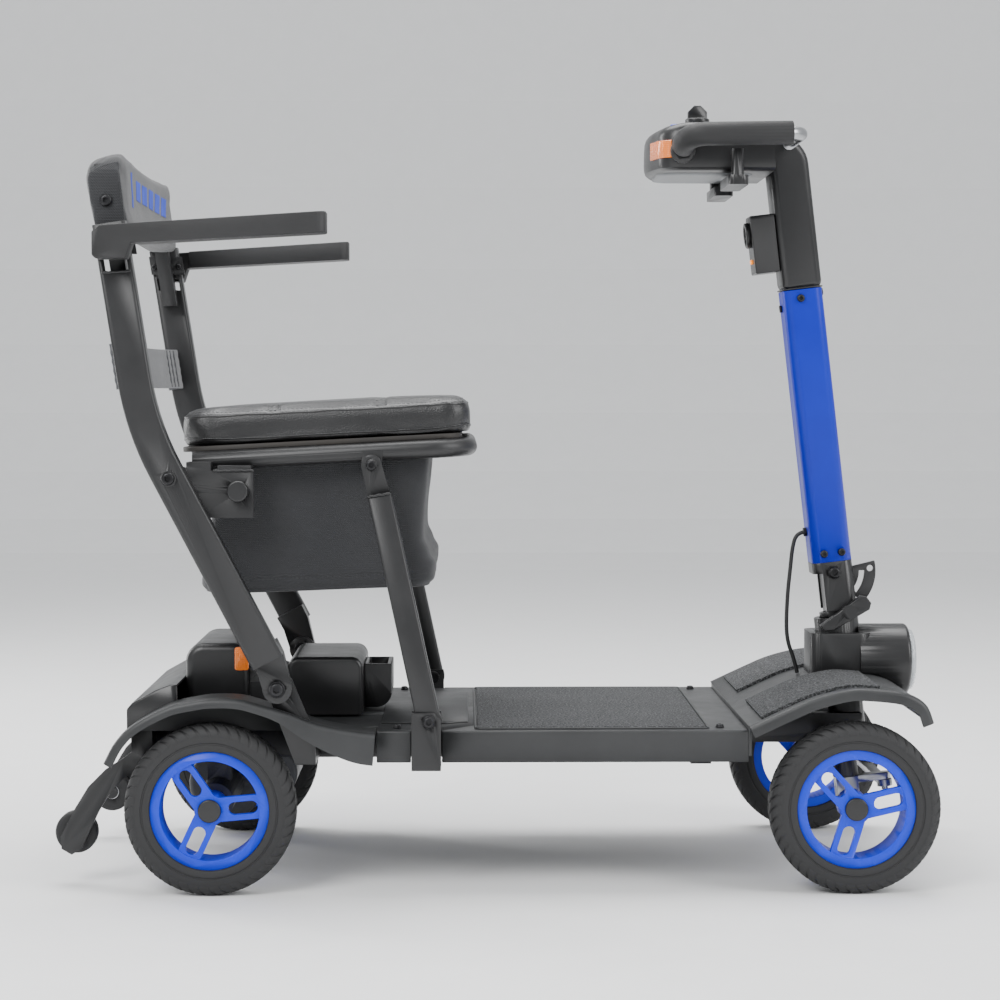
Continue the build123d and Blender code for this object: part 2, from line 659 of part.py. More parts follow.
def cable(points):
    """Runs joined by arcs that are as large as the runs allow."""
    corners = [Vector(x, 0, z) for x, z in points]
    radii = []
    for before, here, after in zip(corners, corners[1:], corners[2:]):
        turn = math.radians((here - before).get_angle(after - here))
        shorter = min((here - before).length, (after - here).length)
        radii.append(0.45 * shorter / math.tan(turn / 2))
    print("cable radii", [round(r, 1) for r in radii])
    path = FilletPolyline(*corners, radius=radii)
    tube = sweep(Plane(path @ 0, z_dir=path % 0) * Circle(CABLE_R), path=path)
    share = tube.volume / (math.pi * CABLE_R ** 2 * path.length)
    print("cable length", round(path.length, 1), "volume over section times length", round(share, 4))
    return tube


# ---------------------------------------------------------------- seat posts
def seat_post():
    lean = math.radians(POST_LEAN_TOP)
    top_x = POST_BEND[0] - math.tan(lean) * (POST_TOP_Z - POST_BEND[1])
    path = FilletPolyline((POST_FOOT[0], 0, POST_FOOT[1]), (POST_BEND[0], 0, POST_BEND[1]),
                          (top_x, 0, POST_TOP_Z), radius=POST_BEND_R)
    section = Plane(path @ 0, x_dir=(0, 1, 0), z_dir=path % 0)
    outer = sweep(section * RectangleRounded(POST_T, POST_W, 4), path=path)
    inner = sweep(section * RectangleRounded(POST_T - 4, POST_W - 4, 2.5), path=path)
    solid_top = block(-160, -60, -40, 40, 742, 800)
    tube = outer - (inner - solid_top)
    tube = Pos(0, POST_IN + POST_T / 2, 0) * tube
    slope = math.tan(lean)
    window = [(post_x(z) + dx, z) for z, dx in ((721, -14.5), (721, 14.5), (737, 14.5), (737, -14.5))]
    tube -= plate(window, POST_IN - 5, POST_IN + POST_T + 5)
    ax, az = PIVOT_A
    top = [(45, 283), (78, 300)]
    foot = plate(top + [(86, 284), (ax + 17, az), (ax, az - 17), (ax - 17, az), (54, 267)],
                 LEG_IN, LEG_IN + LEG_T)
    foot += rod_y(ax, az, 17, LEG_IN, LEG_IN + LEG_T)
    foot += plate(top + [(86, 284), (54, 267)], LEG_IN + LEG_T - 1, POST_IN + 1.5)
    foot -= rod_y(ax, az, 6 + 2 * RUN, 200, 250)
    upright = plate([(post_x(z) + dx, z) for z, dx in ((700, -9), (700, 9), (845, 9), (845, -9))],
                    BACK_TUBE_Y - 9, BACK_TUBE_Y + 9)
    spacer = plate([(post_x(z) + dx, z) for z, dx in ((702, -9), (702, 9), (738, 9), (738, -9))],
                   BACK_TUBE_Y + 9, POST_IN)
    pin = rod_y(*ARM_PIN, 5, POST_IN + 8, ARM_OUT - 6)
    pivot = rod_y(*PIVOT_B, 9, POST_IN + POST_T, POST_IN + POST_T + 6)
    return tube + foot + upright + spacer + pin + pivot


BACK_TUBE_Y = 223.0
BACK_BAR_Z = 830.0


def rear_posts():
    left = seat_post()
    bar = rod_y(post_x(BACK_BAR_Z), BACK_BAR_Z, 8, -BACK_TUBE_Y, BACK_TUBE_Y)
    frame = left + mirrored(left) + bar
    plate_low = plate([(post_x(z) + dx, z) for z, dx in ((742, -20), (742, 24), (766, 24),
                                                          (766, -20))], POST_IN - 3.5, POST_IN)
    pieces = [frame]
    for dx in (-14, 2, 18):
        plate_low += rod_y(post_x(752) + dx, 752, 3.5, POST_IN - 6, POST_IN - 3.5)
    return pieces + both_sides(plate_low)


PAD_LOW, PAD_HIGH = 770.0, 863.0
PAD_HALF = POST_IN - 0.5


def backrest_pad():
    """Padded sleeve over the back frame."""
    profile = [(post_x(PAD_LOW) - 23, PAD_LOW), (post_x(PAD_LOW) + 20, PAD_LOW),
               (-91, 800), (-93, PAD_HIGH), (post_x(PAD_HIGH) - 16, PAD_HIGH - 8)]
    pad = plate(profile, -PAD_HALF, PAD_HALF)
    tops = pad.edges().filter_by(Axis.X)
    corner = block(-160, -60, PAD_HALF - 34, PAD_HALF + 1, PAD_HIGH - 34, PAD_HIGH + 1)
    corner -= rod_x(PAD_HALF - 34, PAD_HIGH - 34, 34, -170, -50)
    pad = pad - corner - mirrored(corner)
    gap = 0.4
    slot = plate([(post_x(z) + dx, z) for z, dx in ((700, -9 - gap), (700, 9 + gap),
                                                     (846, 9 + gap), (846, -9 - gap))],
                 BACK_TUBE_Y - 9 - gap, BACK_TUBE_Y + 9 + gap)
    tunnel = rod_y(post_x(BACK_BAR_Z), BACK_BAR_Z, 8 + gap, -BACK_TUBE_Y, BACK_TUBE_Y)
    return pad - slot - mirrored(slot) - tunnel


STRAP_Z = 616.5
STRAP_H = 53.0


def lumbar_strap():
    """Webbing between the posts, taken round the inner and rear faces of each."""
    half = STRAP_H / 2
    face = POST_IN - SEAT_GAP
    rear = -POST_W / 2 - SEAT_GAP
    band = block(-6, -2, -face, face, -half, half)
    side = block(rear - 3, -2, face - 3, face, -half, half)
    tail = block(rear - 3, rear, face - 3, POST_IN + 16, -half, half)
    strap = band + side + tail + mirrored(side) + mirrored(tail)
    return Pos(post_x(STRAP_Z), 0, STRAP_Z) * Rot(0, -POST_LEAN_TOP, 0) * strap


def armrest():
    """Left armrest: a rear block on the pin and a long pad ahead of it."""
    rise = math.tan(math.radians(3.7))
    top = lambda x: 771 + rise * (x + 118)
    low = lambda x: 751.5 + rise * (x + 78) * 0.86
    narrow = [(-122, 738), (-118, 734), (-84, 734), (-78, low(-78)), (PAD_REAR, low(PAD_REAR)),
              (PAD_REAR, top(PAD_REAR)), (-114, top(-114)), (-122, 764)]
    rear = plate(narrow, POST_IN + POST_T + 1.5, ARM_OUT)
    wide = [(PAD_REAR, low(PAD_REAR)), (ARM_FRONT, low(ARM_FRONT)), (ARM_FRONT, top(ARM_FRONT)),
            (PAD_REAR, top(PAD_REAR))]
    pad = plate(wide, ARM_IN, ARM_OUT)
    pad = fillet(pad.edges().filter_by(Axis.Z).group_by(Axis.X)[-1], 10)
    arm = rear + pad
    return arm - rod_y(*ARM_PIN, 5 + RUN, POST_IN, ARM_OUT - 5.5)


# ---------------------------------------------------------------- seat
LUG = (230.0, 235.0)
PLUNGER = (36.0, 471.0)
LATCH = (-12.0, 53.0, 440.0, 487.0)


def seat_frame():
    half, length = SEAT_TUBE_HALF, SEAT_LENGTH
    path = FilletPolyline((0, -half, 0), (length, -half, 0), (length, half, 0), (0, half, 0),
                          radius=48)
    section = Plane(path @ 0, z_dir=path % 0)
    loop = sweep(section * (Circle(SEAT_TUBE_R) - Circle(SEAT_TUBE_R - 2)), path=path)
    loop += rod_y(16, 0, SEAT_TUBE_R - 2.5, -half, half)
    frame = seat(loop)
    bx, bz = PIVOT_B
    cx, cz = PIVOT_C
    x0, x1, z0, z1 = LATCH
    lug = plate([(bx, bz + 16), (x0, z1 + 8), (x1, z1 + 6), (x1, z0), (x0, z0), (bx, bz - 16)],
                *LUG)
    lug += rod_y(bx, bz, 16, *LUG)
    lug -= rod_y(*PLUNGER, 6 + RUN, 220, 240)
    tie = block(12, 50, SEAT_TUBE_HALF, LUG[1], 488, 500)
    tie += block(-24, 4, SEAT_TUBE_HALF, LUG[1], 492, 504)
    ear = plate([(cx - 12, cz), (cx - 10, 516), (cx + 12, 517), (cx + 12, cz)], 207, LEG_IN - 0.5)
    ear += rod_y(cx, cz, 12, 207, LEG_IN - 0.5)
    web = block(cx - 11, cx + 11, 200, 208, 506, 516)
    pivot = rod_y(bx, bz, 8, LUG[1], POST_IN - 0.3)
    for piece in (lug, tie, ear, web, pivot):
        frame = frame + piece + mirrored(piece)
    return [frame] + both_sides(latch_spring())


def latch_spring():
    """Sleeve that the plunger's return coil runs on, beside the latch plate."""
    length = 40
    coil = Cylinder(5.5, length) - Cylinder(3.5, length)
    return Pos(-2, 224.2, 462) * Rot(0, -30, 0) * coil


def seat_board():
    board = block(-14, SEAT_LENGTH - 6, -194, 194, SEAT_TUBE_R, SEAT_TUBE_R + BOARD_T)
    return seat(round_edges(board, Axis.Z, 26))


def seat_cushion():
    low = SEAT_TUBE_R + BOARD_T + SEAT_GAP
    pad = block(-20, SEAT_LENGTH + 12, -CUSHION_HALF, CUSHION_HALF, low, low + CUSHION_T)
    pad = round_edges(pad, Axis.Z, 34)
    pad = fillet(pad.edges().group_by(Axis.Z)[-1], 14)
    return seat(pad)


BAG_HALF = 184.0


def storage_bag():
    """Fabric bag hung inside the seat tube, open at the top."""
    outer = [(6, 516), (6, 494), (-18, 350), (-8, 345), (240, 352), (262, 356), (264, 364), (257, 405),
             (250, 408), (255, 480), (255, 529)]
    inner = [(9, 517), (9, 494), (-14, 352), (240, 356), (259, 362), (253, 402), (246, 408),
             (251, 480), (251, 530)]
    return plate(outer, -BAG_HALF, BAG_HALF) - plate(inner, -BAG_HALF + 3, BAG_HALF - 3)


def plunger():
    """Left spring plunger: a knob outside the latch plate on a pin that goes through it."""
    knob = rod_y(*PLUNGER, 12, LUG[1] + 4, LUG[1] + 18)
    knob = fillet(knob.edges().filter_by(GeomType.CIRCLE), 2)
    neck = rod_y(*PLUNGER, 6, LUG[0] - 8, LUG[1] + 5)
    return knob + neck


def front_leg():
    """Left front leg, from the deck bracket up to its tab on the seat frame."""
    dx, dz = PIVOT_D
    cx, cz = PIVOT_C
    top = (197.5, 466.0)
    path = Line((dx, 0, dz), (top[0], 0, top[1]))
    section = Plane(path @ 0, x_dir=(0, 1, 0), z_dir=path % 0)
    outer = sweep(section * RectangleRounded(LEG_T, LEG_W - 2, 3), path=path)
    inner = sweep(section * RectangleRounded(LEG_T - 4, LEG_W - 6, 1.5), path=path)
    keep = block(dx - 40, dx + 40, -20, 20, dz - 30, dz + 34)
    tube = Pos(0, LEG_IN + LEG_T / 2, 0) * (outer - (inner - keep))
    leg = tube + rod_y(dx, dz, 15, LEG_IN, LEG_IN + LEG_T)
    tab = plate([(cx - 12, cz), (184, 462), (210, 466), (cx + 12, cz)], LEG_IN, LEG_IN + 6)
    tab += rod_y(cx, cz, 12, LEG_IN, LEG_IN + 6)
    head = rod_y(cx, cz, 7, LEG_IN + 6, LEG_IN + 11)
    head = fillet(head.edges().filter_by(GeomType.CIRCLE).group_by(Axis.Y)[-1], 1.5)
    leg = leg + tab + head
    return leg - rod_y(dx, dz, 5 + 2 * RUN, 200, 240)


# ---------------------------------------------------------------- wheels and steering links
def tyre(x, side):
    """Solid tyre with rounded shoulders, on the left or right."""
    half = TYRE_W / 2
    ring = rod_y(x, WHEEL_R, WHEEL_R, -half, half)
    ring = fillet(ring.edges().filter_by(GeomType.CIRCLE), 11)
    ring -= rod_y(x, WHEEL_R, RIM_R, -half - 1, half + 1)
    return Pos(0, side * TRACK / 2, 0) * ring


def rim(x, side, first_spoke):
    """Rim of the left or right wheel, with three looped spokes and its hub cap."""
    inner = RIM_R - RIM_RING
    ring = rod_y(0, 0, RIM_R, -20, 21) - rod_y(0, 0, inner, -21, 22)
    hub = rod_y(0, 0, HUB_R, -22, 17)
    body = ring + hub
    for k in range(3):
        near, far = HUB_R + 3.5, inner - 2
        loop = extrude(Plane.XZ.offset(-18) * SlotOverall(inner + 14, SPOKE_W), amount=8)
        slot = extrude(Plane.XZ.offset(-19) * SlotOverall(far - near, SPOKE_SLOT), amount=10)
        spoke = Pos((inner + 4) / 2, 0, 0) * loop - Pos((near + far) / 2, 0, 0) * slot
        body += Rot(0, -(first_spoke + 120 * k), 0) * spoke
    cap = rod_y(0, 0, 13.5, 18, 24)
    cap = fillet(cap.edges().filter_by(GeomType.CIRCLE).group_by(Axis.Y)[-1], 2)
    return body, cap


def place_wheel(shape, x, side):
    """Stands a left-hand wheel piece on its axle, turned over for the right-hand side."""
    if side < 0:
        shape = mirrored(shape)
    return Pos(x, side * TRACK / 2, WHEEL_R) * shape


def rear_rim(side, first_spoke):
    body, cap = rim(0, side, first_spoke)
    body += rod_y(0, 0, HUB_R, -22, 17)
    shaft = rod_y(0, 0, AXLE_R, -TRACK / 2 + 32, -22)
    shaft += rod_y(0, 0, AXLE_R - 4, -22.5, 17)
    body -= rod_y(0, 0, AXLE_R - 4, -30, 30)
    return [place_wheel(piece, 0, side) for piece in (body, cap, shaft)]


def front_rim(side, first_spoke):
    body, cap = rim(WHEELBASE, side, first_spoke)
    body -= rod_y(0, 0, STUB_R + RUN, -30, 30)
    return [place_wheel(piece, WHEELBASE, side) for piece in (body, cap)]


def knuckle():
    """Left steering knuckle: kingpin, stub axle and steering arm."""
    stub_x, stub_z = BEAM_AHEAD, (WHEEL_R - STEER_FOOT[1]) / math.cos(math.radians(RAKE)) + 3.9
    y = KINGPIN_Y
    carrier = block(stub_x - 13, stub_x + 13, y - 12, y + 11, -34, 8.5)
    pin = rod_z(stub_x, y, KINGPIN_R, 8.5, 50)
    cap = rod_z(stub_x, y, 11, 45.5, 52)
    arm = block(stub_x, stub_x + ARM_LENGTH, y - 8, y + 8, 0.5, 8.5)
    arm += rod_z(stub_x + ARM_LENGTH, y, 8, 0.5, 8.5)
    link_pin = rod_z(stub_x + ARM_LENGTH, y, 4, -12, 0.5)
    body = steer(carrier + pin + cap + arm + link_pin)
    return body + rod_y(WHEELBASE, WHEEL_R, STUB_R, y + 5, TRACK / 2 + 17)


def tie_rod():
    x = BEAM_AHEAD + ARM_LENGTH
    y = KINGPIN_Y
    bar = block(x - 6, x + 6, -y, y, -8, 0)
    for side in (-1, 1):
        bar += rod_z(x, side * y, 9, -8, 0)
    bar += block(x, ARM_LENGTH, -8, 8, -8, 0) + rod_z(ARM_LENGTH, 0, 9, -8, 0)
    for px, py in ((x, -y), (x, y), (ARM_LENGTH, 0)):
        bar -= rod_z(px, py, 4 + 2 * RUN, -20, 10)
    return steer(bar)


def anti_tip_wheel():
    x, z = ANTI_TIP
    wheel = rod_y(x, z, ANTI_TIP_R, ANTI_TIP_Y - 9, ANTI_TIP_Y + 9)
    wheel = fillet(wheel.edges().filter_by(GeomType.CIRCLE), 4)
    return wheel - rod_y(x, z, 5 + RUN, ANTI_TIP_Y - 20, ANTI_TIP_Y + 20)


# ---------------------------------------------------------------- write every node
save("chassis_frame", chassis_frame())
save("deck_shell", deck_shell(), deck_hatch())
save("front_deck", front_deck())
save("deck_mats", *deck_mats(), deck_grommet())
save("rear_cover", rear_cover())
save("rear_fenders", *both_sides(rear_fender()))
save("tail_pod", tail_pod())
save("rear_reflectors", *both_sides(rear_reflector()))
save("head_shroud", head_shroud())
save("headlight", headlight())
save("head_bearings", *head_bearings())
save("transaxle", transaxle())
save("drive_motor", drive_motor())
save("controller_box", controller_box())
save("frame_brackets", *frame_brackets())
save("chassis_fasteners", *chassis_fasteners())
save("battery_pack", *battery_pack())
save("steering_stem", steering_stem())
save("latch_sector", latch_sector())
save("column_sleeve", column_sleeve())
save("column_tube", column_tube())
save("column_head", column_head())
save("console_cover", console_cover())
save("console_base", console_base())
save("handlebar", *handlebar())
save("key_box", *key_box())
save("tiller_fasteners", *tiller_fasteners())
save("console_reflectors", *both_sides(console_reflector()))
save("fold_lever", fold_lever())
save("speed_dial", speed_dial())
save("horn_button", horn_button())
save("drive_lever_left", drive_lever())
save("drive_lever_right", mirrored(drive_lever()))
save("cable_upper", cable(CABLE_UPPER))
save("cable_lower", cable(CABLE_LOWER))
save("rear_posts", *rear_posts())
save("backrest_pad", backrest_pad())
save("lumbar_strap", lumbar_strap())
save("armrest_left", armrest())
save("armrest_right", mirrored(armrest()))
save("seat_frame", *seat_frame())
save("seat_board", seat_board())
save("seat_cushion", seat_cushion())
save("storage_bag", storage_bag())
save("plunger_left", plunger())
save("plunger_right", mirrored(plunger()))
save("front_legs", *both_sides(front_leg()))
save("knuckle_left", knuckle())
save("knuckle_right", mirrored(knuckle()))
save("tie_rod", tie_rod())
save("anti_tip_wheel_left", anti_tip_wheel())
save("anti_tip_wheel_right", mirrored(anti_tip_wheel()))
for name, side in (("left", 1), ("right", -1)):
    save(f"tyre_rear_{name}", tyre(0, side))
    save(f"rim_rear_{name}", *rear_rim(side, 125))
    save(f"tyre_front_{name}", tyre(WHEELBASE, side))
    save(f"rim_front_{name}", *front_rim(side, 133))
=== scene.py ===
"""Looks of the folding mobility scooter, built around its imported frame."""

import json
import math

import bmesh
import bpy
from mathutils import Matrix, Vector, noise
from mathutils.bvhtree import BVHTree

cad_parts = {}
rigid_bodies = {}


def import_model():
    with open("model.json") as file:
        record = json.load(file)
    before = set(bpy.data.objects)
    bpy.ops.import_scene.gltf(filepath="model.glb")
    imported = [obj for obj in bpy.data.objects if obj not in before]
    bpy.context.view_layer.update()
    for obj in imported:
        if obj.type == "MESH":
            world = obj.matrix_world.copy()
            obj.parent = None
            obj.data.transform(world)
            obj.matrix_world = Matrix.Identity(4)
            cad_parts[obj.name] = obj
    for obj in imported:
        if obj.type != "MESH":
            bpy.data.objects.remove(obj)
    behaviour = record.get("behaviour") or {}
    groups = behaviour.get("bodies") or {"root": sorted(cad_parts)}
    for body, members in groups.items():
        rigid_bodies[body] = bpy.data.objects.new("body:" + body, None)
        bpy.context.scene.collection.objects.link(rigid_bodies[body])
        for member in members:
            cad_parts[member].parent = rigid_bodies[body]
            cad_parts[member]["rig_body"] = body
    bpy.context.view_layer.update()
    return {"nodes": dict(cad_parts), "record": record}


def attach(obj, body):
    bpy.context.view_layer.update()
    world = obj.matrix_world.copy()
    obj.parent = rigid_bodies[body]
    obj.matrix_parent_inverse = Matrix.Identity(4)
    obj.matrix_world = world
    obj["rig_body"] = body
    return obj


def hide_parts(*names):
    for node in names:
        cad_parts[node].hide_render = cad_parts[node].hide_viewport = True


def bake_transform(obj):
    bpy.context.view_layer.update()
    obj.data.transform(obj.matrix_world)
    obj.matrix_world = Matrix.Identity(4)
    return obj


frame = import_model()
NODES = frame["nodes"]

ORIGIN_X = 330.0  # mm from the rear axle to the frame's origin
MM = 0.001
SIDES = (("right", -1), ("left", 1))


def at(x, y, z):
    """A point in millimetres from the rear axle, as metres in the row frame."""
    return Vector(((x - ORIGIN_X) * MM, y * MM, z * MM))


# ---------------------------------------------------------------- node groups
def start_group(name, inputs, outputs):
    group = bpy.data.node_groups.new(name, "ShaderNodeTree")
    for label, value in inputs:
        socket = group.interface.new_socket(label, in_out="INPUT", socket_type="NodeSocketFloat")
        socket.default_value = value
    for label in outputs:
        group.interface.new_socket(label, in_out="OUTPUT", socket_type="NodeSocketFloat")
    return group, group.nodes.new("NodeGroupInput"), group.nodes.new("NodeGroupOutput")


def math_node(tree, operation, first, second=None, third=None):
    node = tree.nodes.new("ShaderNodeMath")
    node.operation = operation
    for socket, value in zip(node.inputs, (first, second, third)):
        if value is None:
            continue
        if isinstance(value, (int, float)):
            socket.default_value = value
        else:
            tree.links.new(value, socket)
    return node.outputs[0]


def object_coordinates(tree):
    return tree.nodes.new("ShaderNodeTexCoord").outputs["Object"]


def texture(tree, kind, vector, scale, **settings):
    node = tree.nodes.new(kind)
    tree.links.new(vector, node.inputs["Vector"])
    if isinstance(scale, (int, float)):
        node.inputs["Scale"].default_value = scale
    else:
        tree.links.new(scale, node.inputs["Scale"])
    for key, value in settings.items():
        if key in node.inputs:
            node.inputs[key].default_value = value
        else:
            setattr(node, key, value)
    return node


def make_grain_group():
    """Fine surface grain: a noise broken up by small cells."""
    tree, inside, out = start_group("surface_grain", [("Scale", 900.0), ("Cells", 0.4)],
                                    ["Height"])
    where = object_coordinates(tree)
    fine = texture(tree, "ShaderNodeTexNoise", where, inside.outputs["Scale"], Detail=4.0)
    cells = texture(tree, "ShaderNodeTexVoronoi", where, inside.outputs["Scale"])
    share = math_node(tree, "MULTIPLY", cells.outputs["Distance"], inside.outputs["Cells"])
    height = math_node(tree, "ADD", fine.outputs[0], share)
    tree.links.new(height, out.inputs["Height"])
    return tree


def make_smudge_group():
    """Broad uneven patches, as handling and dust leave."""
    tree, inside, out = start_group("handling_smudge", [("Scale", 14.0), ("Low", 0.35),
                                                        ("High", 0.7)], ["Mask"])
    where = object_coordinates(tree)
    broad = texture(tree, "ShaderNodeTexNoise", where, inside.outputs["Scale"], Detail=6.0,
                    Roughness=0.65)
    ramp = tree.nodes.new("ShaderNodeMapRange")
    tree.links.new(broad.outputs[0], ramp.inputs["Value"])
    tree.links.new(inside.outputs["Low"], ramp.inputs["From Min"])
    tree.links.new(inside.outputs["High"], ramp.inputs["From Max"])
    tree.links.new(ramp.outputs["Result"], out.inputs["Mask"])
    return tree


def make_weave_group():
    """Over-and-under weave of two thread directions."""
    tree, inside, out = start_group("plain_weave", [("Threads", 2600.0), ("Lean", 0.6)],
                                    ["Height"])
    parts = tree.nodes.new("ShaderNodeSeparateXYZ")
    tree.links.new(object_coordinates(tree), parts.inputs[0])
    across = math_node(tree, "MULTIPLY_ADD", parts.outputs["X"], inside.outputs["Lean"],
                       parts.outputs["Y"])
    up = math_node(tree, "MULTIPLY_ADD", parts.outputs["X"], inside.outputs["Lean"],
                   parts.outputs["Z"])
    warp = math_node(tree, "SINE", math_node(tree, "MULTIPLY", across, inside.outputs["Threads"]))
    weft = math_node(tree, "SINE", math_node(tree, "MULTIPLY", up, inside.outputs["Threads"]))
    tree.links.new(math_node(tree, "MULTIPLY", warp, weft), out.inputs["Height"])
    return tree


GRAIN = make_grain_group()
SMUDGE = make_smudge_group()
WEAVE = make_weave_group()


# ---------------------------------------------------------------- materials
def linear(red, green, blue):
    """Screen colour of 0 to 255 as scene colour."""
    def one(value):
        value /= 255.0
        return value / 12.92 if value <= 0.04045 else ((value + 0.055) / 1.055) ** 2.4
    return (one(red), one(green), one(blue), 1.0)


def place_group(tree, group, **values):
    node = tree.nodes.new("ShaderNodeGroup")
    node.node_tree = group
    for label, value in values.items():
        node.inputs[label].default_value = value
    return node


def bump(tree, height, strength, distance, below=None):
    node = tree.nodes.new("ShaderNodeBump")
    node.inputs["Strength"].default_value = strength
    node.inputs["Distance"].default_value = distance
    tree.links.new(height, node.inputs["Height"])
    if below is not None:
        tree.links.new(below, node.inputs["Normal"])
    return node.outputs["Normal"]


def mix_colour(tree, mask, first, second):
    node = tree.nodes.new("ShaderNodeMix")
    node.data_type = "RGBA"
    tree.links.new(mask, node.inputs["Factor"])
    for socket, value in ((node.inputs[6], first), (node.inputs[7], second)):
        if isinstance(value, tuple):
            socket.default_value = value
        else:
            tree.links.new(value, socket)
    return node.outputs[2]


def spread(tree, mask, low, high):
    """A 0 to 1 mask as a value from low to high."""
    node = tree.nodes.new("ShaderNodeMapRange")
    tree.links.new(mask, node.inputs["Value"])
    node.inputs["To Min"].default_value = low
    node.inputs["To Max"].default_value = high
    return node.outputs["Result"]


def finish_material(name, colour, worn, rough, rough_worn, grain=900.0, depth=0.05, cells=0.4,
                    smudge=14.0, metallic=0.0, coat=0.0, coat_rough=0.1, sheen=0.0,
                    weave=None, weave_depth=0.0, specular=0.5):
    """Base finish: patchy colour and gloss over a fine grain, with an optional weave."""
    material = bpy.data.materials.new(name)
    material.use_nodes = True
    tree = material.node_tree
    shader = tree.nodes["Principled BSDF"]
    patches = place_group(tree, SMUDGE, Scale=smudge)
    tree.links.new(mix_colour(tree, patches.outputs["Mask"], colour, worn),
                   shader.inputs["Base Color"])
    tree.links.new(spread(tree, patches.outputs["Mask"], rough, rough_worn),
                   shader.inputs["Roughness"])
    normal = bump(tree, place_group(tree, GRAIN, Scale=grain, Cells=cells).outputs["Height"],
                  depth, 0.0006)
    if weave:
        threads = place_group(tree, WEAVE, Threads=weave)
        normal = bump(tree, threads.outputs["Height"], weave_depth, 0.0005, normal)
    tree.links.new(normal, shader.inputs["Normal"])
    shader.inputs["Metallic"].default_value = metallic
    shader.inputs["Coat Weight"].default_value = coat
    shader.inputs["Coat Roughness"].default_value = coat_rough
    shader.inputs["Sheen Weight"].default_value = sheen
    shader.inputs["Specular IOR Level"].default_value = specular
    return material


POWDER_COAT = finish_material("powder_coat_black", linear(24, 24, 25), linear(31, 31, 32), 0.36,
                              0.46, grain=1500.0, depth=0.12)
DECK_MOULDING = finish_material("deck_moulding_black", linear(33, 34, 35), linear(44, 45, 46),
                                0.42, 0.55, grain=1300.0, depth=0.14)
SMOOTH_COVER = finish_material("smooth_cover_black", linear(22, 22, 23), linear(28, 28, 29), 0.3,
                               0.4, grain=1100.0, depth=0.06)
SOFT_FOAM = finish_material("grip_foam_black", linear(20, 20, 21), linear(28, 28, 29), 0.55, 0.72,
                            grain=1400.0, depth=0.25, cells=0.8)
ARM_MOULDING = finish_material("armrest_moulding_black", linear(24, 24, 25), linear(33, 33, 34),
                               0.5, 0.62, grain=1100.0, depth=0.3, cells=0.8)
BLACK_FIXINGS = finish_material("black_fixings", linear(30, 30, 31), linear(48, 48, 50), 0.3,
                                0.42, grain=700.0, depth=0.08, metallic=0.7)
BRIGHT_STEEL = finish_material("turned_steel", linear(175, 176, 178), linear(150, 151, 154), 0.24,
                               0.38, grain=420.0, depth=0.06, metallic=1.0)
CAST_CASING = finish_material("cast_casing", linear(62, 63, 66), linear(82, 83, 86), 0.5, 0.62,
                              grain=420.0, depth=0.3, metallic=0.4)
COLUMN_BLUE = finish_material("column_blue_paint", linear(0, 24, 158), linear(0, 28, 168), 0.34,
                              0.42, grain=1300.0, depth=0.06, specular=0.3)
RIM_BLUE = finish_material("rim_blue_paint", linear(8, 44, 200), linear(12, 52, 208), 0.34, 0.46,
                           grain=1200.0, depth=0.1, specular=0.35)
GREY_MOULDING = finish_material("underside_grey_moulding", linear(122, 124, 126),
                                linear(134, 136, 138), 0.5, 0.6, depth=0.1)
BUTTON_BLUE = finish_material("button_blue", linear(6, 52, 190), linear(10, 60, 200), 0.25, 0.35,
                              depth=0.04, coat=0.4)
CABLE_JACKET = finish_material("cable_jacket", linear(19, 19, 20), linear(27, 27, 28), 0.42, 0.55,
                               grain=900.0, depth=0.08)
TYRE_RUBBER = finish_material("tyre_rubber", linear(26, 26, 27), linear(37, 37, 38), 0.6, 0.78,
                              grain=700.0, depth=0.22, smudge=20.0)
SEAT_VINYL = finish_material("seat_vinyl_black", linear(18, 18, 19), linear(25, 25, 26), 0.3,
                             0.42, grain=620.0, depth=0.35, cells=1.3, coat=0.12, coat_rough=0.3)
BAG_NYLON = finish_material("bag_nylon_black", linear(24, 25, 28), linear(34, 35, 38), 0.72, 0.85,
                            grain=800.0, depth=0.1, sheen=0.25, weave=2600.0, weave_depth=0.5)
BACK_NYLON = finish_material("back_nylon_black", linear(26, 27, 30), linear(36, 37, 40), 0.75,
                             0.88, grain=700.0, depth=0.1, sheen=0.3, weave=1900.0,
                             weave_depth=0.6)
STRAP_WEBBING = finish_material("strap_webbing_grey", linear(70, 71, 74), linear(92, 93, 96),
                                0.8, 0.9, grain=600.0, depth=0.15, sheen=0.4, weave=2200.0,
                                weave_depth=0.8)
STITCH_THREAD = finish_material("stitch_thread", linear(112, 112, 114), linear(96, 96, 98), 0.6,
                                0.75, grain=2000.0, depth=0.2)
PRINT_BLUE = finish_material("print_blue", linear(32, 66, 190), linear(26, 54, 168), 0.6, 0.75,
                             grain=800.0, depth=0.1, weave=1900.0, weave_depth=0.4)
SEAT_BOARD = finish_material("seat_board_dark", linear(34, 32, 30), linear(50, 46, 42), 0.6, 0.75,
                             grain=300.0, depth=0.2)


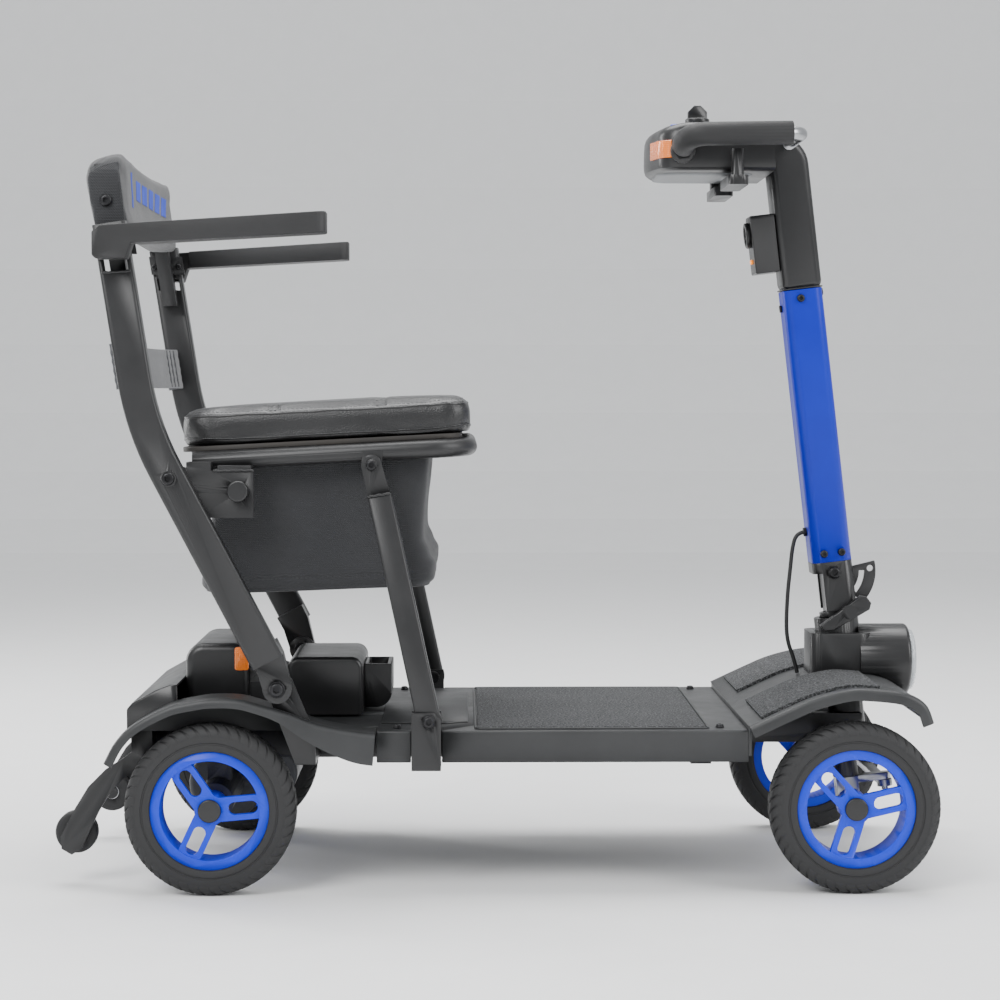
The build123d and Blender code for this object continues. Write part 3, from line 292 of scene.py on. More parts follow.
def granular_material():
    """Grip sheet: bonded grit of mixed grey over black rubber."""
    material = finish_material("grit_grip_sheet", linear(34, 35, 36), linear(48, 49, 50), 0.86,
                               0.95, grain=650.0, depth=0.3)
    tree = material.node_tree
    shader = tree.nodes["Principled BSDF"]
    where = object_coordinates(tree)
    grit = texture(tree, "ShaderNodeTexVoronoi", where, 520.0)
    tone = spread(tree, grit.outputs["Distance"], 1.0, 0.0)
    speck = texture(tree, "ShaderNodeTexNoise", where, 420.0, Detail=3.0)
    patch = tree.nodes.new("ShaderNodeMapRange")
    tree.links.new(speck.outputs[0], patch.inputs["Value"])
    patch.inputs["From Min"].default_value = 0.45
    patch.inputs["From Max"].default_value = 0.68
    colour = mix_colour(tree, patch.outputs["Result"], linear(34, 35, 36), linear(92, 93, 95))
    tree.links.new(colour, shader.inputs["Base Color"])
    tree.links.new(bump(tree, tone, 0.9, 0.0012), shader.inputs["Normal"])
    return material


def reflector_material():
    """Moulded reflector: small prisms under a clear orange skin."""
    material = finish_material("reflector_orange", linear(232, 112, 30), linear(244, 132, 44),
                               0.2, 0.3, grain=300.0, depth=0.1, coat=0.6)
    tree = material.node_tree
    prisms = texture(tree, "ShaderNodeTexVoronoi", object_coordinates(tree), 420.0,
                     Randomness=0.0)
    tree.links.new(bump(tree, prisms.outputs["Distance"], 0.7, 0.001),
                   tree.nodes["Principled BSDF"].inputs["Normal"])
    return material


def lens_material():
    """Clear lamp lens with upright flutes."""
    material = finish_material("lamp_lens", linear(205, 210, 214), linear(190, 196, 200), 0.06,
                               0.12, grain=200.0, depth=0.02, coat=0.8)
    tree = material.node_tree
    shader = tree.nodes["Principled BSDF"]
    flutes = texture(tree, "ShaderNodeTexWave", object_coordinates(tree), 60.0,
                     bands_direction="Y")
    tree.links.new(bump(tree, flutes.outputs[0], 0.6, 0.001), shader.inputs["Normal"])
    shader.inputs["Transmission Weight"].default_value = 0.35
    return material


def lamp_material():
    material = finish_material("charge_lamp_amber", linear(255, 150, 40), linear(255, 170, 60),
                               0.2, 0.3, depth=0.02)
    shader = material.node_tree.nodes["Principled BSDF"]
    shader.inputs["Emission Color"].default_value = linear(255, 140, 30)
    shader.inputs["Emission Strength"].default_value = 1.2
    return material


GRIT_SHEET = granular_material()
ORANGE_REFLECTOR = reflector_material()
LAMP_LENS = lens_material()
AMBER_LAMP = lamp_material()


# ---------------------------------------------------------------- making pieces
def link(name, mesh):
    piece = bpy.data.objects.new(name, mesh)
    bpy.context.scene.collection.objects.link(piece)
    return piece


def mesh_piece(name, points, faces, sharp=50.0):
    """A new piece from points in metres, welded, with its faces turned outwards."""
    mesh = bpy.data.meshes.new(name)
    mesh.from_pydata([tuple(p) for p in points], [], faces)
    tidy = bmesh.new()
    tidy.from_mesh(mesh)
    bmesh.ops.remove_doubles(tidy, verts=tidy.verts, dist=1e-6)
    bmesh.ops.recalc_face_normals(tidy, faces=tidy.faces)
    tidy.to_mesh(mesh)
    tidy.free()
    shade(mesh, sharp)
    return link(name, mesh)


def shade(mesh, sharp):
    mesh.polygons.foreach_set("use_smooth", [True] * len(mesh.polygons))
    mesh.set_sharp_from_angle(angle=math.radians(sharp))


def dress(piece, material, body, slot, *stood_for):
    """Gives a finished piece its finish and its body, and hides the CAD nodes it stands for."""
    piece.data.materials.clear()
    piece.data.materials.append(material)
    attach(piece, body)
    if stood_for:
        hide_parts(*stood_for)
    return piece


def plain(piece):
    """Turns a piece's modifiers into its own mesh."""
    bpy.context.view_layer.update()
    graph = bpy.context.evaluated_depsgraph_get()
    mesh = bpy.data.meshes.new_from_object(piece.evaluated_get(graph))
    made = link(piece.name + "_made", mesh)
    name = piece.name
    bpy.data.objects.remove(piece)
    made.name = name
    return made


def bands(count, ring, first=0):
    """Quads between rings of equal length, closed round each ring."""
    faces = []
    for k in range(count - 1):
        a, b = first + k * ring, first + (k + 1) * ring
        for j in range(ring):
            n = (j + 1) % ring
            faces.append((a + j, a + n, b + n, b + j))
    return faces


def loft(name, rings, sharp=50.0):
    """A closed skin over a row of rings, with flat ends."""
    ring = len(rings[0])
    points = [p for r in rings for p in r]
    faces = bands(len(rings), ring)
    faces.append(tuple(range(ring)))
    faces.append(tuple(range((len(rings) - 1) * ring, len(rings) * ring))[::-1])
    return mesh_piece(name, points, faces, sharp)


def smooth_run(points, steps):
    """A curve through given (x, z) points, evenly subdivided."""
    padded = [points[0]] + list(points) + [points[-1]]
    run = []
    for p0, p1, p2, p3 in zip(padded, padded[1:], padded[2:], padded[3:]):
        for k in range(steps):
            t = k / steps
            run.append(tuple(0.5 * (2 * b + (c - a) * t + (2 * a - 5 * b + 4 * c - d) * t * t
                                    + (3 * b - a - 3 * c + d) * t ** 3)
                             for a, b, c, d in zip(p0, p1, p2, p3)))
    run.append(points[-1])
    return run


def rounded_section(width, height, radius, steps=4):
    """Closed outline of a rounded rectangle about its centre."""
    section = []
    for cx, cy, start in ((1, 1, 0), (-1, 1, 90), (-1, -1, 180), (1, -1, 270)):
        for k in range(steps + 1):
            turn = math.radians(start + 90 * k / steps)
            section.append((cx * (width / 2 - radius) + radius * math.cos(turn),
                            cy * (height / 2 - radius) + radius * math.sin(turn)))
    return section


def tube(name, points, radius, cyclic=False, sides=10, resolution=6):
    """A round tube along a smooth line through control points in millimetres."""
    curve = bpy.data.curves.new(name, "CURVE")
    curve.dimensions = "3D"
    line = curve.splines.new("NURBS")
    line.points.add(len(points) - 1)
    for point, where in zip(line.points, points):
        point.co = (*at(*where), 1.0)
    line.use_cyclic_u = cyclic
    line.order_u = 3
    line.use_endpoint_u = not cyclic
    curve.resolution_u = resolution
    curve.bevel_depth = radius * MM
    curve.bevel_resolution = max(1, sides // 4)
    curve.use_fill_caps = not cyclic
    made = plain(link(name, curve))
    weld = bmesh.new()
    weld.from_mesh(made.data)
    bmesh.ops.remove_doubles(weld, verts=weld.verts, dist=1e-6)
    bmesh.ops.recalc_face_normals(weld, faces=weld.faces)
    weld.to_mesh(made.data)
    weld.free()
    shade(made.data, 60.0)
    return made


def lathe_y(name, profile, centre, segments=96, sharp=40.0):
    """A ring turned about the Y axis from a closed (radius, y) outline in millimetres."""
    cx, cy, cz = centre
    points, faces = [], []
    count = len(profile)
    for k in range(segments):
        turn = 2 * math.pi * k / segments
        for radius, y in profile:
            points.append(at(cx + radius * math.cos(turn), cy + y, cz + radius * math.sin(turn)))
    for k in range(segments):
        a, b = k * count, (k + 1) % segments * count
        for j in range(count):
            n = (j + 1) % count
            faces.append((a + j, a + n, b + n, b + j))
    return mesh_piece(name, points, faces, sharp)


# ---------------------------------------------------------------- camera, floor and light
def set_camera():
    camera = bpy.data.objects.new("camera", bpy.data.cameras.new("camera"))
    bpy.context.scene.collection.objects.link(camera)
    camera.location = at(292.7, -3000.0, 580.0)
    camera.rotation_euler = (math.radians(90 - 2.476), 0.0, math.radians(-0.904))
    camera.data.sensor_width = 36.0
    camera.data.lens = 86.58
    camera.data.clip_end = 60.0
    bpy.context.scene.camera = camera


def set_floor():
    """A pale sweep of floor that rises into the backdrop."""
    profile = [(-9.0, 0.0), (5.0, 0.0)]
    profile += [(5.0 + 2.2 * math.sin(math.radians(a)), 2.2 - 2.2 * math.cos(math.radians(a)))
                for a in range(10, 91, 10)]
    profile.append((7.2, 9.0))
    points, faces = [], []
    for x in (-12.0, 12.0):
        points += [(x, y, z) for y, z in profile]
    n = len(profile)
    faces = [(k, k + 1, n + k + 1, n + k) for k in range(n - 1)]
    mesh = bpy.data.meshes.new("floor")
    mesh.from_pydata(points, [], faces)
    floor = link("floor", mesh)
    material = finish_material("pale_floor", (0.86, 0.86, 0.86, 1.0), (0.88, 0.88, 0.88, 1.0),
                               0.7, 0.8, grain=60.0, depth=0.02)
    mesh.materials.append(material)


def add_light(name, where, aim, width, height, watts):
    lamp = bpy.data.lights.new(name, "AREA")
    lamp.shape = "RECTANGLE"
    lamp.size, lamp.size_y = width, height
    lamp.energy = watts
    piece = bpy.data.objects.new(name, lamp)
    bpy.context.scene.collection.objects.link(piece)
    piece.location = where
    piece.rotation_euler = (Vector(aim) - Vector(where)).to_track_quat("-Z", "Y").to_euler()


def set_light():
    world = bpy.data.worlds.new("studio")
    bpy.context.scene.world = world
    world.use_nodes = True
    world.node_tree.nodes["Background"].inputs["Color"].default_value = (0.96, 0.98, 1.0, 1.0)
    world.node_tree.nodes["Background"].inputs["Strength"].default_value = 0.85
    add_light("key_softbox", (-1.6, -2.4, 2.6), (0.0, 0.0, 0.4), 1.6, 1.6, 90.0)
    add_light("side_softbox", (2.6, -1.6, 1.8), (0.1, 0.0, 0.4), 1.2, 2.0, 60.0)
    add_light("top_softbox", (0.0, 0.6, 3.0), (0.0, 0.0, 0.4), 2.6, 1.8, 110.0)
    add_light("rear_strip", (-2.4, 1.4, 1.2), (-0.2, 0.0, 0.5), 0.5, 2.2, 45.0)


set_camera()
set_floor()
set_light()

# ---------------------------------------------------------------- cable
RAKE = math.radians(6.6)


def steer_point(along, ahead=0.0):
    """X and Z, in millimetres, of a point along the raked steering axis and ahead of it."""
    return (781.8 - along * math.sin(RAKE) + ahead * math.cos(RAKE),
            125.0 + along * math.cos(RAKE) + ahead * math.sin(RAKE))


CABLE_WIDTH = 5.0
CABLE_EXIT = steer_point(290.0, -29.0)
CABLE_MEET = (699.6, 313.0)
CABLE_DECK = (713.0, 233.0)
UPPER_ROUTE = [CABLE_EXIT, (711, 408), (706, 390), (703.5, 362), (700.6, 336), CABLE_MEET]
LOWER_ROUTE = [CABLE_MEET, (698.73, 293), (701, 271), (708.5, 252), CABLE_DECK]


def nurbs_line(name, route):
    """Points, in metres, along the smooth line that a route controls."""
    curve = bpy.data.curves.new(name, "CURVE")
    curve.dimensions = "3D"
    line = curve.splines.new("NURBS")
    line.points.add(len(route) - 1)
    for point, (x, z) in zip(line.points, route):
        point.co = (*at(x, 0.0, z), 1.0)
    line.order_u = 3
    line.use_endpoint_u = True
    curve.resolution_u = 12
    bare = plain(link(name, curve))
    points = [v.co.copy() for v in bare.data.vertices]
    bpy.data.objects.remove(bare)
    return points


def cable_piece(name, route):
    path = nurbs_line(name + "_line", route)
    rings = []
    for k, point in enumerate(path):
        ahead = (path[min(k + 1, len(path) - 1)] - path[max(k - 1, 0)]).normalized()
        side = Vector((0, 1, 0))
        up = ahead.cross(side)
        half = CABLE_WIDTH / 2 * MM
        rings.append([point + half * (math.cos(a) * side + math.sin(a) * up)
                      for a in (math.tau * j / 14 for j in range(14))])
    piece = loft(name, rings, 60.0)
    piece.data.materials.append(CABLE_JACKET)
    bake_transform(piece)
    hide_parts(name.replace("_jacket", ""))


cable_piece("cable_upper_jacket", UPPER_ROUTE)
cable_piece("cable_lower_jacket", LOWER_ROUTE)

# ---------------------------------------------------------------- shapes taken from the frame
def parts_of(node):
    """Corners and faces of each separate solid of a CAD node."""
    work = bmesh.new()
    work.from_mesh(NODES[node].data)
    bmesh.ops.remove_doubles(work, verts=work.verts, dist=1e-6)
    left = set(work.faces)
    found = []
    for first in list(work.faces):
        if first not in left:
            continue
        left.discard(first)
        group, front = [], [first]
        while front:
            face = front.pop()
            group.append(face)
            for edge in face.edges:
                for other in edge.link_faces:
                    if other in left:
                        left.discard(other)
                        front.append(other)
        order = {}
        for face in group:
            for vert in face.verts:
                order.setdefault(vert, len(order))
        found.append(([v.co.copy() for v in order],
                      [tuple(order[v] for v in f.verts) for f in group]))
    work.free()
    return found


def eased(name, points, faces, width, sharp, segments):
    """Flat faces merged and hard edges rounded, as moulding, casting and paint leave them."""
    mesh = bpy.data.meshes.new(name)
    mesh.from_pydata([tuple(p) for p in points], [], faces)
    work = bmesh.new()
    work.from_mesh(mesh)
    bmesh.ops.dissolve_limit(work, angle_limit=math.radians(0.8), verts=work.verts,
                             edges=work.edges)
    work.to_mesh(mesh)
    work.free()
    piece = link(name, mesh)
    ease = piece.modifiers.new("ease", "BEVEL")
    ease.width = width * MM
    ease.segments = segments
    ease.limit_method = "ANGLE"
    ease.angle_limit = math.radians(sharp)
    ease.use_clamp_overlap = True
    ease.harden_normals = True
    piece = plain(piece)
    shade(piece.data, sharp)
    return piece


def slot_of(node):
    return next(s["material_slot"] for s in frame["record"]["subparts"] if s["node"] == node)


def soften(node, finish, width=0.8, sharp=34.0, segments=2, reshape=None):
    """A CAD node's own shape with eased edges. finish is a material, or a function that picks
    one from the low and high corners of a solid."""
    groups = {}
    for points, faces in parts_of(node):
        low = Vector([min(p[k] for p in points) for k in range(3)])
        high = Vector([max(p[k] for p in points) for k in range(3)])
        material = finish(low, high) if callable(finish) else finish
        if reshape:
            points = [reshape(p) for p in points]
        all_points, all_faces = groups.setdefault(material.name, ([], []))
        base = len(all_points)
        all_points.extend(points)
        all_faces.extend(tuple(base + k for k in face) for face in faces)
    for name, (points, faces) in groups.items():
        label = node + "_eased" if len(groups) == 1 else f"{node}_{name}"
        piece = eased(label, points, faces, width, sharp, segments)
        dress(piece, bpy.data.materials[name], NODES[node]["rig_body"], slot_of(node), node)


def slab(name, outline, y0, y1, round_by, segments=3, sharp=50.0):
    """A plate of an (x, z) outline in millimetres from y0 to y1, with rounded rims."""
    n = len(outline)
    points = [at(x, y, z) for y in (y0, y1) for x, z in outline]
    faces = [tuple(range(n)), tuple(range(2 * n - 1, n - 1, -1))]
    faces += [(k, n + k, n + (k + 1) % n, (k + 1) % n) for k in range(n)]
    raw = mesh_piece(name + "_raw", points, faces)
    corners = [v.co.copy() for v in raw.data.vertices]
    sides = [tuple(f.vertices) for f in raw.data.polygons]
    bpy.data.objects.remove(raw)
    return eased(name, corners, sides, round_by, sharp, segments)


def arc(cx, cz, radius, first, last, steps):
    """Points of a round stretch of an outline, angles in degrees."""
    turns = [math.radians(first + (last - first) * k / steps) for k in range(steps + 1)]
    return [(cx + radius * math.cos(t), cz + radius * math.sin(t)) for t in turns]


def ribbon(name, run, section):
    """A bent sheet along (x, z) points. section gives (y, depth) pairs for a point's x."""
    rings = []
    for k, (x, z) in enumerate(run):
        (ax, az), (bx, bz) = run[max(k - 1, 0)], run[min(k + 1, len(run) - 1)]
        length = math.hypot(bx - ax, bz - az)
        nx, nz = -(bz - az) / length, (bx - ax) / length
        rings.append([at(x - depth * nx, y, z - depth * nz) for y, depth in section(x)])
    return loft(name, rings, 38.0)


def smooth_step(value, low, high):
    t = min(1.0, max(0.0, (value - low) / (high - low)))
    return t * t * (3 - 2 * t)


# ---------------------------------------------------------------- repeated small pieces
def new_tree(name, inputs):
    """A geometry tree with a geometry in and out and the named inputs."""
    tree = bpy.data.node_groups.new(name, "GeometryNodeTree")
    tree.interface.new_socket("Geometry", in_out="INPUT", socket_type="NodeSocketGeometry")
    for label, kind in inputs:
        tree.interface.new_socket(label, in_out="INPUT", socket_type=kind)
    tree.interface.new_socket("Geometry", in_out="OUTPUT", socket_type="NodeSocketGeometry")
    return tree, tree.nodes.new("NodeGroupInput"), tree.nodes.new("NodeGroupOutput")


def finish_tree(tree, geometry, inside, out):
    """Ends a tree in real geometry with its finish."""
    real = tree.nodes.new("GeometryNodeRealizeInstances")
    paint = tree.nodes.new("GeometryNodeSetMaterial")
    tree.links.new(geometry, real.inputs[0])
    tree.links.new(real.outputs[0], paint.inputs["Geometry"])
    tree.links.new(inside.outputs["Finish"], paint.inputs["Material"])
    tree.links.new(paint.outputs[0], out.inputs[0])


def make_ring_tree():
    """Copies of a unit in even turns about the Y axis."""
    tree, inside, out = new_tree("copies_in_a_ring", [("Count", "NodeSocketInt"),
                                                      ("Start", "NodeSocketFloat"),
                                                      ("Finish", "NodeSocketMaterial")])
    points = tree.nodes.new("GeometryNodePoints")
    copies = tree.nodes.new("GeometryNodeInstanceOnPoints")
    turn = tree.nodes.new("ShaderNodeCombineXYZ")
    index = tree.nodes.new("GeometryNodeInputIndex").outputs[0]
    step = math_node(tree, "DIVIDE", math.tau)
    tree.links.new(inside.outputs["Count"], step.node.inputs[1])
    angle = math_node(tree, "MULTIPLY_ADD", index, step, inside.outputs["Start"])
    tree.links.new(angle, turn.inputs["Y"])
    tree.links.new(inside.outputs["Count"], points.inputs["Count"])
    tree.links.new(points.outputs[0], copies.inputs["Points"])
    tree.links.new(inside.outputs["Geometry"], copies.inputs["Instance"])
    tree.links.new(turn.outputs[0], copies.inputs["Rotation"])
    finish_tree(tree, copies.outputs[0], inside, out)
    return tree


def make_scatter_tree():
    """Copies of a unit on given points, each facing and sized as its point says."""
    tree, inside, out = new_tree("copies_on_points", [("Unit", "NodeSocketObject"),
                                                      ("Finish", "NodeSocketMaterial")])
    unit = tree.nodes.new("GeometryNodeObjectInfo")
    unit.inputs["As Instance"].default_value = True
    facing = tree.nodes.new("GeometryNodeInputNamedAttribute")
    facing.data_type = "FLOAT_VECTOR"
    facing.inputs["Name"].default_value = "facing"
    size = tree.nodes.new("GeometryNodeInputNamedAttribute")
    size.data_type = "FLOAT"
    size.inputs["Name"].default_value = "size"
    turn = tree.nodes.new("FunctionNodeAlignRotationToVector")
    turn.axis = "Z"
    copies = tree.nodes.new("GeometryNodeInstanceOnPoints")
    tree.links.new(inside.outputs["Unit"], unit.inputs["Object"])
    tree.links.new(facing.outputs["Attribute"], turn.inputs["Vector"])
    tree.links.new(inside.outputs["Geometry"], copies.inputs["Points"])
    tree.links.new(unit.outputs["Geometry"], copies.inputs["Instance"])
    tree.links.new(turn.outputs["Rotation"], copies.inputs["Rotation"])
    tree.links.new(size.outputs["Attribute"], copies.inputs["Scale"])
    finish_tree(tree, copies.outputs[0], inside, out)
    return tree


RING_TREE = make_ring_tree()
SCATTER_TREE = make_scatter_tree()


def run_tree(piece, tree, **values):
    """Adds a tree, sets its inputs by identifier and returns the plain result."""
    modifier = piece.modifiers.new(tree.name, "NODES")
    modifier.node_group = tree
    for item in tree.interface.items_tree:
        if item.in_out == "INPUT" and item.name in values:
            modifier[item.identifier] = values[item.name]
    return plain(piece)


def moved_to(piece, where):
    for vert in piece.data.vertices:
        vert.co += where
    return piece


def scatter(name, unit, places, material, sharp=40.0):
    """Places copies of a unit: each place is a point, the way it faces and its size."""
    mesh = bpy.data.meshes.new(name)
    mesh.from_pydata([tuple(point) for point, _, _ in places], [], [])
    facing = mesh.attributes.new("facing", "FLOAT_VECTOR", "POINT")
    facing.data.foreach_set("vector", [c for _, way, _ in places for c in way])
    size = mesh.attributes.new("size", "FLOAT", "POINT")
    size.data.foreach_set("value", [scale for _, _, scale in places])
    piece = run_tree(link(name, mesh), SCATTER_TREE, Unit=unit, Finish=material)
    shade(piece.data, sharp)
    return piece


def screw_unit():
    """Domed screw head with a hexagon socket, one millimetre in radius."""
    sides = 24
    turns = [math.tau * k / sides for k in range(sides)]

    def ring(radius, height):
        return [Vector((radius * math.cos(t), radius * math.sin(t), height)) * MM for t in turns]

    def hexagon(reach, height):
        radii = [reach / math.cos((t + math.pi / 6) % (math.pi / 3) - math.pi / 6) for t in turns]
        return [Vector((r * math.cos(t), r * math.sin(t), height)) * MM
                for r, t in zip(radii, turns)]

    rings = [ring(1.0, -0.3), ring(1.0, 0.22), ring(0.93, 0.42), ring(0.78, 0.55),
             ring(0.6, 0.6), hexagon(0.42, 0.6), hexagon(0.4, 0.12)]
    return loft("screw_unit", rings, 30.0)


def bead_unit():
    """One ripple of a weld bead, one millimetre in radius."""
    rings = []
    for height, radius in ((-0.3, 0.9), (0.15, 1.0), (0.5, 0.75), (0.68, 0.3)):
        rings.append([Vector((radius * math.cos(math.tau * k / 8),
                              radius * math.sin(math.tau * k / 8), height)) * MM
                      for k in range(8)])
    return loft("bead_unit", rings, 60.0)


def stitch_unit():
    """One stitch lying along its own Z, one millimetre long each way."""
    rings = []
    for height, radius in ((-1.0, 0.08), (-0.8, 0.22), (0.0, 0.28), (0.8, 0.22), (1.0, 0.08)):
        rings.append([Vector((radius * math.cos(math.tau * k / 6),
                              radius * math.sin(math.tau * k / 6), height)) * MM
                      for k in range(6)])
    return loft("stitch_unit", rings, 60.0)


SCREW, BEAD, STITCH = screw_unit(), bead_unit(), stitch_unit()


def weld(name, body, runs):
    """Weld beads along straight runs: each run is two points and the way the bead faces."""
    places = []
    for start, end, way in runs:
        a, b = at(*start), at(*end)
        count = max(2, int((b - a).length / (1.5 * MM)))
        for k in range(count + 1):
            t = k / count
            wobble = 0.25 * math.sin(7.3 * k)
            places.append((a.lerp(b, t) + Vector((0, 0, wobble * MM)), way, 1.7 + 0.3 * wobble))
    dress(scatter(name, BEAD, places, POWDER_COAT, 60.0), POWDER_COAT, body, "frame_black")


# ---------------------------------------------------------------- rigid pieces from the frame
def rim_finish(low, high):
    size = high - low
    if size.x > 0.1:
        return RIM_BLUE
    return POWDER_COAT if size.y > 0.05 else SMOOTH_COVER


def bar_finish(low, high):
    if high.x > at(700, 0, 0).x:
        return BRIGHT_STEEL
    return SMOOTH_COVER if high.x - low.x < 0.04 else SOFT_FOAM


def key_finish(low, high):
    reach = high.z - low.z
    if reach > 0.05:
        return SMOOTH_COVER
    return BRIGHT_STEEL if reach > 0.02 else AMBER_LAMP


def thin_arm(point):
    """The lever's lower arm is a thin bar, so its underside is drawn up."""
    top = at(0, 0, 843).z
    return Vector((point.x, point.y, top - 0.6 * (top - point.z))) if point.z < top else point


EASED = [
    ("chassis_frame", POWDER_COAT, 1.0), ("deck_shell", DECK_MOULDING, 1.6),
    ("rear_cover", SMOOTH_COVER, 4.0), ("tail_pod", SMOOTH_COVER, 1.6),
    ("rear_reflectors", ORANGE_REFLECTOR, 0.5), ("head_shroud", SMOOTH_COVER, 3.0),
    ("headlight", LAMP_LENS, 0.5), ("head_bearings", BRIGHT_STEEL, 0.3),
    ("transaxle", CAST_CASING, 2.0), ("drive_motor", CAST_CASING, 1.6),
    ("controller_box", DECK_MOULDING, 1.5), ("frame_brackets", POWDER_COAT, 1.2),
    ("battery_pack", SMOOTH_COVER, 1.6), ("steering_stem", POWDER_COAT, 0.6),
    ("latch_sector", POWDER_COAT, 0.4), ("column_sleeve", SMOOTH_COVER, 0.8),
    ("column_tube", COLUMN_BLUE, 0.5), ("key_box", key_finish, 1.2),
    ("fold_lever", SMOOTH_COVER, 2.0), ("speed_dial", SMOOTH_COVER, 1.2),
    ("horn_button", BUTTON_BLUE, 0.5), ("rear_posts", POWDER_COAT, 1.0),
    ("armrest_left", ARM_MOULDING, 2.4), ("armrest_right", ARM_MOULDING, 2.4),
    ("seat_frame", POWDER_COAT, 0.8), ("seat_board", SEAT_BOARD, 0.8),
    ("plunger_left", SMOOTH_COVER, 0.8), ("plunger_right", SMOOTH_COVER, 0.8),
    ("front_legs", POWDER_COAT, 0.8), ("knuckle_left", BRIGHT_STEEL, 0.8),
    ("knuckle_right", BRIGHT_STEEL, 0.8), ("tie_rod", BRIGHT_STEEL, 0.8),
    ("anti_tip_wheel_left", TYRE_RUBBER, 1.0), ("anti_tip_wheel_right", TYRE_RUBBER, 1.0),
    ("handlebar", bar_finish, 1.4), ("chassis_fasteners", BLACK_FIXINGS, 0.8),
    ("tiller_fasteners", BLACK_FIXINGS, 0.4),
]
EASED += [(f"rim_{end}_{side}", rim_finish, 1.3) for end in ("front", "rear") for side, _ in SIDES]
for node, finish, width in EASED:
    soften(node, finish, width)
for side, _ in SIDES:
    soften(f"drive_lever_{side}", SMOOTH_COVER, 1.6, reshape=thin_arm)


# ---------------------------------------------------------------- fenders, decks and mats
FRONT_LINE = [(627, 196), (670, 216), (703, 230), (739, 239), (763, 240), (807, 235), (832, 222),
              (842, 200)]
FENDER_LINE = [(-122, 156), (-109, 180), (-88, 201), (-50, 221), (-21, 228), (2, 231), (34, 230),
               (64, 222), (93, 213), (115, 204), (137, 198), (171, 192), (192, 190)]
FENDER_OUT, FENDER_IN = 236.0, 172.0
FRONT_HALF = 228.0
MAT_SINK, MAT_RISE = 1.4, -2.2


def rolled_lip(edge, drop, wall=4.0):
    """(y, depth) pairs from the lip's foot over its rolled top to the flat of the sheet."""
    over = [(edge, drop), (edge, 6), (edge - 0.6, 3.4), (edge - 2.4, 1.2), (edge - 5, 0.2),
            (edge - 10, 0), (edge - 15, 0.2), (edge - 17.5, MAT_SINK)]
    under = [(edge - 10, 5.2), (edge - wall - 1, 7), (edge - wall, 10), (edge - wall, drop)]
    return over, under


def fender_section(side):
    def section(x):
        drop = 11 + 26 * smooth_step(x, 60, 192)
        over, under = rolled_lip(FENDER_OUT, drop)
        ring = over + [(FENDER_IN, MAT_SINK), (FENDER_IN, 5.2)] + under
        return [(side * y, depth) for y, depth in ring]
    return section


def front_section(x):
    over, under = rolled_lip(FRONT_HALF, 14)
    left = [(-y, depth) for y, depth in reversed(over)]
    return over + left + [(-y, depth) for y, depth in reversed(under)] + under


def drill(piece, radius, low, high):
    """Bores a round hole along the steering axis."""
    rings = []
    for along in (low, high):
        ring = []
        for k in range(40):
            turn = math.tau * k / 40
            x, z = steer_point(along, radius * math.cos(turn))
            ring.append(at(x, radius * math.sin(turn), z))
        rings.append(ring)
    tool = loft("drill", rings)
    cut = piece.modifiers.new("bore", "BOOLEAN")
    cut.operation = "DIFFERENCE"
    cut.object = tool
    piece = plain(piece)
    bpy.data.objects.remove(tool)
    shade(piece.data, 38.0)
    return piece


fender_run = smooth_run(FENDER_LINE, 6)
for side, sign in SIDES:
    fender = ribbon(f"rear_fender_{side}", fender_run, fender_section(sign))
    dress(fender, DECK_MOULDING, "chassis", "deck_black", "rear_fenders")
    wall = [(x, z - 3) for x, z in fender_run if -96 < x < 190]
    wall += [(wall[-1][0], 186), (wall[0][0], 186)]
    inner = sorted((sign * FENDER_IN, sign * (FENDER_IN + 3)))
    dress(slab(f"fender_wall_{side}", wall, *inner, 0.6, 1), DECK_MOULDING, "chassis",
          "deck_black", "rear_fenders")

front_run = smooth_run(FRONT_LINE, 7)
HEAD_HOLE = 24.0
front_sheet = drill(ribbon("front_deck_sheet", front_run, front_section), HEAD_HOLE, 60, 180)
dress(front_sheet, DECK_MOULDING, "chassis", "deck_black", "front_deck")
riser = slab("front_deck_riser", [(627, 160), (631, 160), (631, 196), (627, 194)], -212, 212, 0.6)
dress(riser, DECK_MOULDING, "chassis", "deck_black", "front_deck")


def mat_strip(sign):
    def section(_):
        return [(sign * 48, MAT_SINK), (sign * 48, MAT_RISE), (sign * 49, MAT_RISE - 0.3),
                (sign * 204, MAT_RISE - 0.3), (sign * 205, MAT_RISE), (sign * 205, MAT_SINK)]
    return section


for side, sign in SIDES:
    strip = ribbon(f"front_mat_{side}", [p for p in front_run if 637 <= p[0] <= 784],
                   mat_strip(sign))
    dress(strip, GRIT_SHEET, "chassis", "mat_rubber", "deck_mats")
mat_outline = rounded_section(268, 390, 6)
mat_rings = [[at(445 + x * shrink, y * shrink, z) for x, y in mat_outline]
             for z, shrink in ((190.05, 1.0), (192.2, 1.0), (192.6, 0.996))]
dress(loft("deck_mat_main", mat_rings), GRIT_SHEET, "chassis", "mat_rubber", "deck_mats")
frame_outline = rounded_section(274, 396, 8)
edge = [(445 + x, y, 190.6) for x, y in frame_outline]
dress(tube("deck_mat_edging", edge, 1.6, cyclic=True, resolution=3), DECK_MOULDING, "chassis",
      "deck_black")


# ---------------------------------------------------------------- tiller: console, head, levers
def console_face(z):
    """X of the column's rear face at a height, where the console ends."""
    return 781.8 - math.tan(RAKE) * (z - 125.0 + 25.2 * math.sin(RAKE)) - 25.2 * math.cos(RAKE)


CONSOLE_BACK, CONSOLE_HALF = 519.0, 95.0
CONSOLE_BOW, CONSOLE_CORNER = 10.0, 30.0


def console_top(x):
    return 914.0 - 4.0 * ((x - 615.0) / 55.0) ** 2


